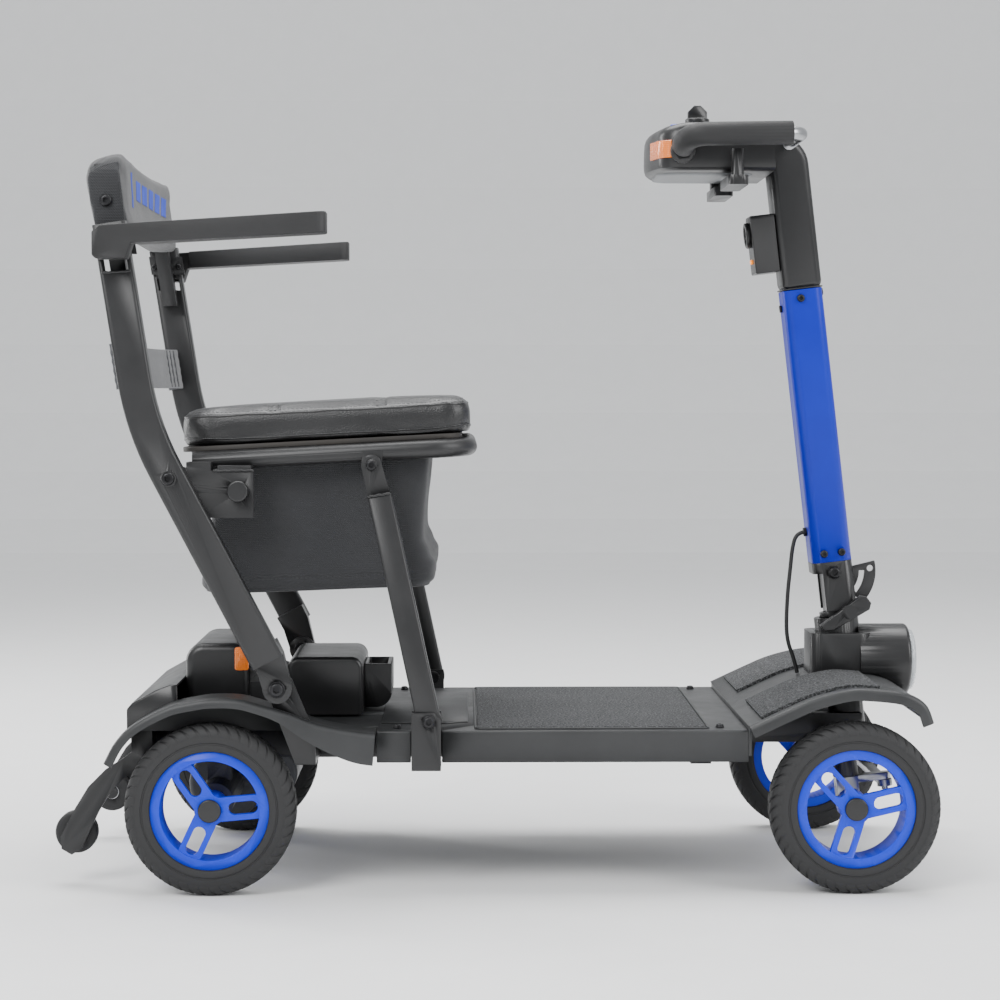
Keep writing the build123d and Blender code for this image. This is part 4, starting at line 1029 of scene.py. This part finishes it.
def console_plan(inset, z=None):
    """Plan outline of the console, drawn in all round by inset."""
    front = console_face(z or 880.0) - 0.4 - 0.2 * inset
    half, back = CONSOLE_HALF - inset, CONSOLE_BACK + inset
    turn_r = max(6.0, CONSOLE_CORNER - 0.5 * inset)
    line = [(front, -half), (front, half)]
    line += arc(back + CONSOLE_BOW + turn_r, half - turn_r, turn_r, 90, 180, 7)
    for k in range(1, 8):
        y = (half - turn_r) * (1 - k / 4)
        line.append((back + CONSOLE_BOW * (y / (half - turn_r)) ** 2, y))
    line += arc(back + CONSOLE_BOW + turn_r, -half + turn_r, turn_r, 180, 270, 7)
    return line


console_rings = []
for z, inset in ((851.5, 9.0), (852.6, 5.0), (855.5, 1.8), (860, 0.4), (866, 0), (884, 0.4)):
    console_rings.append([at(x, y, z) for x, y in console_plan(inset, z)])
for share, inset in ((0.4, 1.0), (0.68, 2.6), (0.87, 5.5), (0.97, 10), (1.0, 17), (1.02, 34),
                     (1.03, 60), (1.03, 84)):
    console_rings.append([at(x, y, 886 + share * (console_top(x) - 886))
                          for x, y in console_plan(inset, 900)])
dress(loft("console_shell", console_rings, 30.0), SMOOTH_COVER, "tiller", "cover_black",
      "console_cover")

PAN_HALF = 62.0
pan = rounded_section(118, 2 * PAN_HALF, 26, 6)
pan_rings = [[at(590 + x * s, y * s, z) for x, y in pan]
             for z, s in ((852.6, 1.0), (850.4, 0.995), (849.2, 0.97), (849.0, 0.8))]
dress(loft("console_pan", pan_rings), GREY_MOULDING, "tiller", "grey_plastic", "console_base")


def wrapped_lens(sign):
    """Reflector bent round the console's rear corner."""
    run = []
    for x, y in console_plan(-1.4, 880):
        if 44 < sign * y < 93.5 and x < 560:
            run.append((x, y))
    run.sort(key=lambda p: sign * p[1])
    rings = []
    for x, y in run:
        ring = []
        for out, z in ((0, 867), (1.0, 868), (1.0, 887), (0, 888), (-3, 888), (-3, 867)):
            side = Vector((x - 560, y, 0)).normalized() * out
            ring.append(at(x + side.x, y + side.y, z))
        rings.append(ring)
    return loft(f"console_lens_{'left' if sign > 0 else 'right'}", rings, 40.0)


for side, sign in SIDES:
    dress(wrapped_lens(sign), ORANGE_REFLECTOR, "tiller", "orange_lens", "console_reflectors")

HEAD_LOW, HEAD_TOP, SHOULDER_R = 591.0, 784.0, 40.0
head_outline = [(25, HEAD_LOW)] + arc(25 - SHOULDER_R, HEAD_TOP - SHOULDER_R, SHOULDER_R, 0, 90, 10)
head_outline += [(-25, HEAD_TOP), (-25, HEAD_LOW)]
head_points = [steer_point(along, ahead) for ahead, along in head_outline]
dress(slab("column_head_shell", head_points, -27, 27, 9.0, 5), SMOOTH_COVER, "tiller",
      "frame_black", "column_head")
collar_line = [steer_point(592.5, a) + (y,) for a, y in rounded_section(51.4, 55.4, 12.5)]
dress(tube("column_seam", [(x, y, z) for x, z, y in collar_line], 0.9, cyclic=True, resolution=4),
      POWDER_COAT, "tiller", "frame_black")

# ---------------------------------------------------------------- wheels
TRACK, AXLE_Z, WHEELBASE = 420.0, 100.0, 751.0
TREAD_BARS = 46


def tread_radius(y):
    """Outer radius of the tread at a distance from the tyre's middle."""
    y = abs(y)
    return 100.0 - 0.35 * smooth_step(y, 3, 12) - 11.5 * max(0.0, (y - 12.0) / 13.0) ** 2.2


def tread_bar(name, side):
    """One slanted shoulder block of the tread, at the top of the wheel."""
    rings = []
    for k in range(7):
        y = 3.6 + 20.6 * k / 6
        outer = tread_radius(y)
        lean = 15.0 * (k / 6) ** 1.6
        ring = []
        for along, depth in ((-5.3, 2.6), (-5.1, 0.5), (-4.5, 0), (4.5, 0), (5.1, 0.5), (5.3, 2.6)):
            radius = outer - depth
            turn = (along + lean) / 100.0
            ring.append(Vector((radius * math.sin(turn), side * y, radius * math.cos(turn))) * MM)
        rings.append(ring)
    return loft(name, rings, 50.0)


TYRE_LINE = [(69, -22), (70, -23.6), (73, -24.8), (77.2, -24.6), (78.0, -23.7), (79.4, -23.6),
             (80.2, -24.5), (86, -24.2), (90.4, -23.2), (93.4, -21.0), (95.6, -17.6), (97.0, -13),
             (97.6, -8), (97.9, -3.4), (99.7, -2.9), (99.9, 0)]
TYRE_LINE += [(r, -y) for r, y in reversed(TYRE_LINE[:-1])]
for end, x in (("rear", 0.0), ("front", WHEELBASE)):
    for side, sign in SIDES:
        centre = (x, sign * TRACK / 2, AXLE_Z)
        label = f"{end}_{side}"
        carcass = lathe_y(f"tyre_body_{label}", TYRE_LINE, centre, 120, 35.0)
        dress(carcass, TYRE_RUBBER, f"wheel_{label}", "tyre", f"tyre_{label}")
        for half, start in ((1, 0.0), (-1, 0.5)):
            bar = tread_bar(f"tread_{label}_{'in' if half * sign < 0 else 'out'}", half)
            ring = run_tree(bar, RING_TREE, Count=TREAD_BARS, Finish=TYRE_RUBBER,
                            Start=start * math.tau / TREAD_BARS)
            moved_to(ring, at(*centre))
            shade(ring.data, 40.0)
            dress(ring, TYRE_RUBBER, f"wheel_{label}", "tyre", f"tyre_{label}")
for side, sign in SIDES:
    hub_line = [(5.3, -6), (5.3, 6), (9, 6.2), (13.5, 5.4), (14.6, 4.6), (14.6, -4.6), (13.5, -5.4),
                (9, -6.2)]
    hub_line = [(r, y * 1.46) for r, y in hub_line]
    hub = lathe_y(f"anti_tip_hub_{side}", hub_line, (-166, sign * 146, 62), 48)
    dress(hub, BRIGHT_STEEL, f"anti_tip_wheel_{side}", "steel")

# ---------------------------------------------------------------- seat cushion
SEAT_TILT = math.radians(3.0)


def on_seat(s, y, up):
    """A point along the seat from its rear, across it and above its tube's middle."""
    return at(-20 + s * math.cos(SEAT_TILT) - up * math.sin(SEAT_TILT), y,
              504 + s * math.sin(SEAT_TILT) + up * math.cos(SEAT_TILT))


def surface_of(piece):
    mesh = piece.data
    return BVHTree.FromPolygons([v.co for v in mesh.vertices],
                                [tuple(f.vertices) for f in mesh.polygons])


def puff(piece, voxel, pressure, cap, held, frames=18):
    """Swells a closed shape as filled cloth. Points for which held is true stay where they are,
    and none moves more than cap."""
    even = piece.modifiers.new("even", "REMESH")
    even.mode = "VOXEL"
    even.voxel_size = voxel * MM
    piece = plain(piece)
    start = [v.co.copy() for v in piece.data.vertices]
    pins = piece.vertex_groups.new(name="held")
    pins.add([k for k, co in enumerate(start) if held(co)], 1.0, "REPLACE")
    cloth = piece.modifiers.new("cloth", "CLOTH")
    cloth.settings.quality = 4
    cloth.settings.use_pressure = True
    cloth.settings.uniform_pressure_force = pressure
    cloth.settings.effector_weights.gravity = 0.0
    cloth.settings.vertex_group_mass = "held"
    cloth.point_cache.frame_start = 1
    cloth.point_cache.frame_end = frames
    for frame_number in range(1, frames + 1):
        bpy.context.scene.frame_set(frame_number)
    piece = plain(piece)
    for vert, first in zip(piece.data.vertices, start):
        way = vert.co - first
        if way.length > cap * MM:
            vert.co = first + way * (cap * MM / way.length)
    finer = piece.modifiers.new("finer", "SUBSURF")
    finer.levels = finer.render_levels = 1
    return plain(piece)


CUSHION_LOW, CUSHION_LENGTH, CUSHION_HALF = 17.4, 352.0, 200.0
CUSHION_MID = -20 + CUSHION_LENGTH / 2


def cushion_ring(up, inset, crown=0.0):
    ring = []
    for x, y in rounded_section(CUSHION_LENGTH - 2 * inset, 2 * (CUSHION_HALF - inset),
                                max(6.0, 34 - 0.4 * inset), 6):
        bulge = 1.0 - abs(2 * x / CUSHION_LENGTH) ** 2.5 * 0.35
        ring.append(on_seat(CUSHION_MID + x * (1 if abs(y) > 150 else 1.0), y,
                            up + crown * bulge))
    return ring


def make_cushion():
    rings = [cushion_ring(up, inset) for up, inset in
             ((17.6, 30), (17.6, 15), (20, 8), (25, 5.2), (32, 3.6), (40, 3.4), (48, 4.2),
              (53, 6.2), (55, 8.5), (56.6, 14))]
    rings += [cushion_ring(56.6, inset, crown) for inset, crown in
              ((24, 1.2), (45, 2.2), (80, 3), (120, 3.2), (160, 3.2))]
    base = on_seat(0, 0, CUSHION_LOW + 2.0)
    lift = Vector((-math.sin(SEAT_TILT), 0, math.cos(SEAT_TILT)))
    piece = puff(loft("seat_cushion_cover", rings), 5.5, 4.0, 4.0,
                 lambda co: (co - base).dot(lift) < 0)
    ahead = Vector((math.cos(SEAT_TILT), 0, math.sin(SEAT_TILT)))
    origin = on_seat(0, 0, 0)
    for vert in piece.data.vertices:
        s = (vert.co - origin).dot(ahead) / MM
        up = (vert.co - origin).dot(lift) / MM
        if up > 50:
            dent = sum(math.exp(-((s - line) / 2.6) ** 2) for line in SEAM_LINES)
            vert.co -= lift * (1.9 * dent * smooth_step(up, 50, 56)) * MM
        roll = noise.noise(Vector((s, vert.co.y / MM, up)) * 0.012)
        vert.co += lift * (0.5 * roll * smooth_step(up, 40, 56)) * MM
    shade(piece.data, 180.0)
    return piece, lift


SEAM_LINES = (92.0, 99.0, 217.0, 224.0)
cushion, seat_up = make_cushion()
dress(cushion, SEAT_VINYL, "seat", "leather", "seat_cushion")
cover = surface_of(cushion)


def lay_on(points, surface, sink=0.0):
    """Moves points in metres onto a surface, sunk by a distance in millimetres."""
    laid = []
    for point in points:
        near, normal, _, _ = surface.find_nearest(point)
        laid.append((near - normal * sink * MM, normal))
    return laid


def piping(name, points, radius, material, body, slot):
    """A fine welt along points in metres."""
    line = [(p.x / MM + ORIGIN_X, p.y / MM, p.z / MM) for p in points]
    dress(tube(name, line, radius, cyclic=True, sides=8, resolution=2), material, body, slot)


def even_run(points, step):
    """Points at even steps along a line of points, with the way it runs at each."""
    places, left = [], 0.0
    for a, b in zip(points, points[1:]):
        length = (b - a).length
        while left < length:
            places.append((a.lerp(b, left / length), (b - a).normalized()))
            left += step
        left -= length
    return places


def cushion_line(inset, up, steps=10):
    return [on_seat(CUSHION_MID + x, y, up)
            for x, y in rounded_section(CUSHION_LENGTH - 2 * inset, 2 * (CUSHION_HALF - inset),
                                        32, steps)]


def closed_and_dense(points, step):
    """A closed line of points with long straight stretches divided."""
    dense = []
    for a, b in zip(points, points[1:] + points[:1]):
        count = max(1, round((b - a).length / (step * MM)))
        dense += [a.lerp(b, k / count) for k in range(count)]
    return dense


for label, inset, up in (("top", 3.0, 55.0), ("bottom", 3.5, 24.0)):
    edge = closed_and_dense(cushion_line(inset, up), 9.0)
    laid = [p for p, _ in lay_on(edge, cover, 0.2)]
    piping(f"cushion_piping_{label}", laid, 1.25, SEAT_VINYL, "seat", "leather")
stitch_edge = closed_and_dense(cushion_line(12.0, 62.0), 3.0)
laid = [p for p, _ in lay_on(stitch_edge, cover, -0.1)]
stitches = [(p, way, 1.7) for p, way in even_run(laid + laid[:1], 5.2 * MM)]
dress(scatter("cushion_stitches", STITCH, stitches, STITCH_THREAD, 60.0), STITCH_THREAD, "seat",
      "leather")
seam_places = []
for line in SEAM_LINES:
    across = [on_seat(line, -186 + 4 * k, 66) for k in range(94)]
    laid = [p for p, _ in lay_on(across, cover, 0.2)]
    seam_places += [(p, way, 1.5) for p, way in even_run(laid, 6.0 * MM)]
dress(scatter("cushion_seam_stitches", STITCH, seam_places, SEAT_VINYL, 60.0), SEAT_VINYL, "seat",
      "leather")


# ---------------------------------------------------------------- storage bag
BAG_BACK = [(0, 6), (0.13, 5), (0.8, -14), (0.95, -17), (1, -10)]
BAG_FRONT = [(0, 255), (0.3, 254), (0.66, 250), (0.76, 256), (0.84, 263), (0.95, 262), (1, 252)]
BAG_HALF = [(0, 183.5), (0.35, 181), (0.7, 182.5), (0.93, 183.5), (1, 178)]
BAG_LEVELS = 40


def along_table(table, t):
    for (t0, v0), (t1, v1) in zip(table, table[1:]):
        if t <= t1:
            return v0 + (v1 - v0) * smooth_step(t, t0, t1)
    return table[-1][1]


def bag_fold(x, y, t):
    """How far the cloth is drawn in by its slack folds, in millimetres."""
    broad = noise.noise(Vector((x * 0.011, y * 0.011, t * 2.4)))
    swag = math.sin(0.021 * x + 5.5 * t * (1 + 0.2 * broad)) * math.sin(math.pi * min(1, t * 1.1))
    return 2.2 + 3.2 * broad + 2.0 * swag


def bag_ring(t, drawn=0.0):
    """One level of the bag from its hung edge at 0 to its bottom edge at 1."""
    back, front = along_table(BAG_BACK, t) + drawn, along_table(BAG_FRONT, t) - drawn
    half = along_table(BAG_HALF, t) - drawn
    corner = 10 + 14 * t
    outline = rounded_section(front - back, 2 * half, corner, 4)
    dense = []
    for a, b in zip(outline, outline[1:] + outline[:1]):
        length = math.hypot(b[0] - a[0], b[1] - a[1])
        count = max(1, round(length / 12.0)) if length > 30 else 1
        dense += [(a[0] + (b[0] - a[0]) * k / count, a[1] + (b[1] - a[1]) * k / count)
                  for k in range(count)]
    return [(x + (front + back) / 2, y) for x, y in dense]


def bag_points(t, drawn=0.0, sag=0.0):
    plan = bag_ring(t, drawn)
    reference = bag_ring(0.0)
    count = len(reference)
    points = []
    for k in range(count):
        x, y = plan[round(k * len(plan) / count) % len(plan)]
        rim = 516 + 13 * (x - 6) / 249
        low = 348 + 7 * smooth_step(x, 0, 250)
        z = rim + (low - rim) * t - sag
        drawn_in = 0.0 if drawn else bag_fold(x, y, t) * smooth_step(t, 0.02, 0.25)
        reach = math.hypot(x - 125, y) or 1.0
        scale = 1 - max(0.0, drawn_in) / reach
        points.append(at(125 + (x - 125) * scale, y * scale, z))
    return points


def make_bag():
    rings = [bag_points(k / BAG_LEVELS) for k in range(BAG_LEVELS + 1)]
    rings += [bag_points(1.0, drawn, sag) for drawn, sag in ((6, -0.4), (18, -0.2), (40, 0.8),
                                                             (75, 2.0), (110, 2.6))]
    ring = len(rings[0])
    faces = bands(len(rings), ring)
    faces.append(tuple(range((len(rings) - 1) * ring, len(rings) * ring)))
    piece = mesh_piece("storage_bag_cloth", [p for r in rings for p in r], faces, 180.0)
    wall = piece.modifiers.new("wall", "SOLIDIFY")
    wall.thickness = 1.3 * MM
    wall.offset = -1.0
    finer = piece.modifiers.new("finer", "SUBSURF")
    finer.levels = finer.render_levels = 1
    piece = plain(piece)
    shade(piece.data, 60.0)
    return piece


bag = dress(make_bag(), BAG_NYLON, "seat", "fabric", "storage_bag")
bag_skin = surface_of(bag)
for label, level, radius in (("rim", 0.015, 2.2), ("hem", 0.885, 0.8), ("foot", 0.985, 2.0)):
    edge = [p for p, _ in lay_on(bag_points(level), bag_skin, 0.2 * radius)]
    piping(f"bag_{label}_welt", edge[::2], radius, BAG_NYLON, "seat", "fabric")
hem_run = bag_points(0.905)
laid = [p for p, _ in lay_on(hem_run, bag_skin, -0.1)]
dress(scatter("bag_hem_stitches", STITCH, [(p, way, 1.6) for p, way in
                                           even_run(laid + laid[:1], 5.0 * MM)],
              BAG_NYLON, 60.0), BAG_NYLON, "seat", "fabric")

# ---------------------------------------------------------------- backrest
POST_IN, PAD_HALF = 239.0, 238.4


def post_x(z):
    """X of a seat post's middle above its bend."""
    return -71.7 - math.tan(math.radians(8.85)) * (z - 544.6)


def pad_section(y):
    """Outline of the back pad at a distance from its middle."""
    reach = max(0.0, abs(y) - 206.0)
    drop = 32.4 - math.sqrt(max(0.0, 32.4 ** 2 - reach ** 2))
    middle = 1 - (abs(y) / PAD_HALF) ** 2
    top, rear_top = 861.0 - 0.9 * drop - 3 * middle, 844.0 - 0.6 * drop
    bow = 3.0 * middle
    corners = [(post_x(771) - 20, 772), (post_x(771) + 17, 772), (-92.5 - bow, 800),
               (-95 - bow, 835), (-96 - bow, top - 3), (-102 - bow, top),
               (-124, (top + rear_top) / 2 + 3), (-137, rear_top), (-135, 812)]
    return smooth_run(corners + corners[:1], 3)[:-1]


def make_pad():
    stations = [-238.2, -236, -230] + [-220 + 440 * k / 30 for k in range(31)] + [230, 236, 238.2]
    rings = []
    for y in stations:
        outline = pad_section(y)
        cx = sum(p[0] for p in outline) / len(outline)
        cz = sum(p[1] for p in outline) / len(outline)
        shrink = 1 - 0.05 * smooth_step(abs(y), 230, 238.2)
        rings.append([at(cx + (x - cx) * shrink, y, cz + (z - cz) * shrink) for x, z in outline])
    piece = puff(loft("backrest_cover", rings), 5.5, 2.5, 2.0, lambda co: abs(co.y) > 0.236)
    for vert in piece.data.vertices:
        co = vert.co / MM
        crease = noise.noise(Vector((co.x * 0.05, co.y * 0.02, co.z * 0.045)))
        vert.co.x += 0.8 * crease * MM
    shade(piece.data, 180.0)
    return piece


pad = dress(make_pad(), BACK_NYLON, "posts", "fabric", "backrest_pad")
pad_skin = surface_of(pad)


def wing_line(sign, points):
    return [at(x, sign * PAD_HALF, z) for x, z in points]


for side, sign in SIDES:
    hem = wing_line(sign, [(-134, 836), (-124, 843), (-112, 848), (-102, 852), (-98, 850)])
    line = [(p.x / MM + ORIGIN_X, p.y / MM, p.z / MM) for p, _ in lay_on(hem, pad_skin, 0.1)]
    dress(tube(f"backrest_hem_{side}", line, 0.8, resolution=6), BACK_NYLON, "posts", "fabric")
    edge = [(post_x(771) + 15, 776), (-94, 800), (-97, 830), (-98, 852)]
    line = [(p.x / MM + ORIGIN_X, p.y / MM, p.z / MM)
            for p, _ in lay_on(wing_line(sign, edge), pad_skin, 0.1)]
    dress(tube(f"backrest_side_welt_{side}", line, 1.1, resolution=6), BACK_NYLON, "posts",
          "fabric")


def printed_bar(name, corners):
    """A printed patch on the pad's front: four (y, z) corners, laid on the cloth."""
    columns, rows = 14, 8
    layers = []
    for lift in (0.45, -0.6):
        for k in range(columns + 1):
            for j in range(rows + 1):
                u, v = k / columns, j / rows
                (y0, z0), (y1, z1), (y2, z2), (y3, z3) = corners
                y = (1 - v) * ((1 - u) * y0 + u * y1) + v * ((1 - u) * y3 + u * y2)
                z = (1 - v) * ((1 - u) * z0 + u * z1) + v * ((1 - u) * z3 + u * z2)
                start = at(-60, y, z)
                hit, _, _, _ = pad_skin.ray_cast(start, Vector((-1, 0, 0)))
                layers.append((hit or at(-96, y, z)) + Vector((lift * MM, 0, 0)))
    ring = rows + 1
    half = (columns + 1) * ring

    def quad(k, j, base):
        a = base + k * ring + j
        return (a, a + ring, a + ring + 1, a + 1)

    faces = [quad(k, j, base) for base in (0, half) for k in range(columns) for j in range(rows)]
    rim = [k * ring for k in range(columns + 1)]
    rim += [columns * ring + j for j in range(1, ring)]
    rim += [k * ring + rows for k in range(columns - 1, -1, -1)]
    rim += [j for j in range(rows - 1, 0, -1)]
    faces += [(a, b, half + b, half + a) for a, b in zip(rim, rim[1:] + rim[:1])]
    dress(mesh_piece(name, layers, faces, 60.0), PRINT_BLUE, "posts", "fabric")


printed_bar("print_long_bar", [(-176, 800), (-166, 800), (-152, 842), (-162, 842)])
for k in range(5):
    left = -128 + 60 * k
    printed_bar(f"print_slant_{k + 1}", [(left, 812), (left + 40, 812), (left + 52, 836),
                                         (left + 12, 836)])

# ---------------------------------------------------------------- lumbar strap
STRAP_Z, STRAP_HALF = 616.5, 26.0
POST_T, POST_HALF_W = 22.0, 19.0


def strap_point(ahead, y, up):
    lean = math.radians(8.85)
    return at(post_x(STRAP_Z) + ahead * math.cos(lean) - up * math.sin(lean), y,
              STRAP_Z + ahead * math.sin(lean) + up * math.cos(lean))


def make_strap():
    inner, rear = POST_IN - 1.8, -POST_HALF_W - 1.8
    path = [(rear, POST_IN + 15), (rear, POST_IN + 4), (rear - 0.3, inner + 1), (rear + 1, inner),
            (rear + 12, inner - 0.2), (-6, inner - 0.4), (-3, inner - 3)]
    path += [(-4 - 9 * (1 - (y / 200) ** 2), y) for y in range(200, -1, -20)]
    path += [(ahead, -y) for ahead, y in reversed(path[:-1])]
    rows = 10
    rings = []
    for k, (ahead, y) in enumerate(path):
        (a0, y0), (a1, y1) = path[max(k - 1, 0)], path[min(k + 1, len(path) - 1)]
        length = math.hypot(a1 - a0, y1 - y0)
        nx, ny = (y1 - y0) / length, -(a1 - a0) / length
        ring = []
        for sign, order in ((1, range(rows + 1)), (-1, range(rows, -1, -1))):
            for j in order:
                up = STRAP_HALF * (2 * j / rows - 1)
                pleat = 0.35 * math.cos(j * math.pi) if 0 < j < rows else 0
                off = sign * 1.1 + pleat
                ring.append(strap_point(ahead + off * nx, y + off * ny,
                                        up * (1 - 0.04 * (1 - (abs(y) / 240) ** 2))))
        rings.append(ring)
    return loft("lumbar_webbing", rings, 60.0)


strap = dress(make_strap(), STRAP_WEBBING, "posts", "webbing", "lumbar_strap")
for k, along in enumerate((150, 172, 194)):
    for side, sign in SIDES:
        line = [strap_point(-4 - 9 * (1 - (along / 200) ** 2) + 1.0, sign * along, up)
                for up in range(-24, 25, 6)]
        run = [(p.x / MM + ORIGIN_X, p.y / MM, p.z / MM) for p in line]
        dress(tube(f"strap_pleat_{side}_{k + 1}", run, 1.8, resolution=4),
                            STRAP_WEBBING, "posts", "webbing")

# ---------------------------------------------------------------- springs, welds and screws
for side, sign in SIDES:
    coil = []
    for k in range(9 * 12 + 1):
        turn, up = math.tau * k / 12, -19.0 + 38.0 * k / 108
        across, lean = 5.2 * math.cos(turn), math.radians(30)
        ahead = 5.2 * math.sin(turn)
        coil.append((-2 + ahead * math.cos(lean) - up * math.sin(lean), sign * 224.2 + across,
                     462 + ahead * math.sin(lean) + up * math.cos(lean)))
    dress(tube(f"latch_spring_{side}", coil, 1.1, sides=8, resolution=2), BRIGHT_STEEL, "seat",
          "steel")

OUT_RIGHT, OUT_LEFT = Vector((0, -1, 0)), Vector((0, 1, 0))
UP_WAY = Vector((0, 0, 1))
for side, sign in SIDES:
    out = OUT_LEFT if sign > 0 else OUT_RIGHT
    face = sign * (POST_IN + POST_T + 0.2)
    weld(f"post_welds_{side}", "posts",
         [((post_x(720) - 15, face, 719.5), (post_x(720) + 15, face, 721.5), out),
          ((50, sign * (POST_IN + 3), 276), (78, sign * (POST_IN + 3), 299),
           Vector((0.5, 0, 0.8)))])
    weld(f"leg_welds_{side}", "legs",
         [((185, sign * 234, 464), (209, sign * 234, 468), out)])
    weld(f"latch_welds_{side}", "seat",
         [((8, sign * 235.4, 494), (52, sign * 235.4, 494.5), out),
          ((-24, sign * 229, 491), (4, sign * 229, 492), Vector((0, 0, -1)))])

chassis_screws = []
for side, sign in SIDES:
    out = OUT_LEFT if sign > 0 else OUT_RIGHT
    chassis_screws += [(at(79, sign * 239.5, 242), out, 8.5),
                       (at(254, sign * 241.8, 204), out, 6.8)]
    chassis_screws += [(at(x, sign * 186, 191.9), UP_WAY, 4.4) for x in (216, 596)]
dress(scatter("chassis_screw_heads", SCREW, chassis_screws, BLACK_FIXINGS), BLACK_FIXINGS,
      "chassis", "black_steel")
tiller_screws = []
for ahead, along, size in ((0, 112.6 + 125, 7.4), (-10, 262, 4.8), (12, 262, 4.8), (-4, 580, 4.8)):
    x, z = steer_point(along, ahead)
    reach = 31.0 if along < 240 else 29.4
    tiller_screws += [(at(x, -reach, z), OUT_RIGHT, size), (at(x, reach, z), OUT_LEFT, size)]
dress(scatter("tiller_screw_heads", SCREW, tiller_screws, BLACK_FIXINGS), BLACK_FIXINGS, "tiller",
      "black_steel")
post_screws, seat_screws, leg_screws = [], [], []
for side, sign in SIDES:
    out, inward = (OUT_LEFT, OUT_RIGHT) if sign > 0 else (OUT_RIGHT, OUT_LEFT)
    post_screws.append((at(-41, sign * 267.2, 486), out, 7.6))
    post_screws.append((at(-113, sign * (PAD_HALF + 0.2), 803), out, 7.0))
    post_screws += [(at(post_x(752) + dx, sign * 232.8, 752), inward, 4.0) for dx in (-14, 2, 18)]
    seat_screws += [(on_seat(s, sign * 186, 10.6), Vector((0, 0, -1)), 3.4)
                    for s in (77, 108, 140, 170, 202)]
    leg_screws.append((at(188, sign * 224.6, 500), out, 6.2))
dress(scatter("post_screw_heads", SCREW, post_screws, BLACK_FIXINGS), BLACK_FIXINGS, "posts",
      "black_steel")
dress(scatter("board_screw_heads", SCREW, seat_screws, BRIGHT_STEEL), BRIGHT_STEEL, "seat",
      "steel")
dress(scatter("leg_screw_heads", SCREW, leg_screws, BLACK_FIXINGS), BLACK_FIXINGS, "legs",
      "black_steel")
for unit in (SCREW, BEAD, STITCH):
    bpy.data.objects.remove(unit)
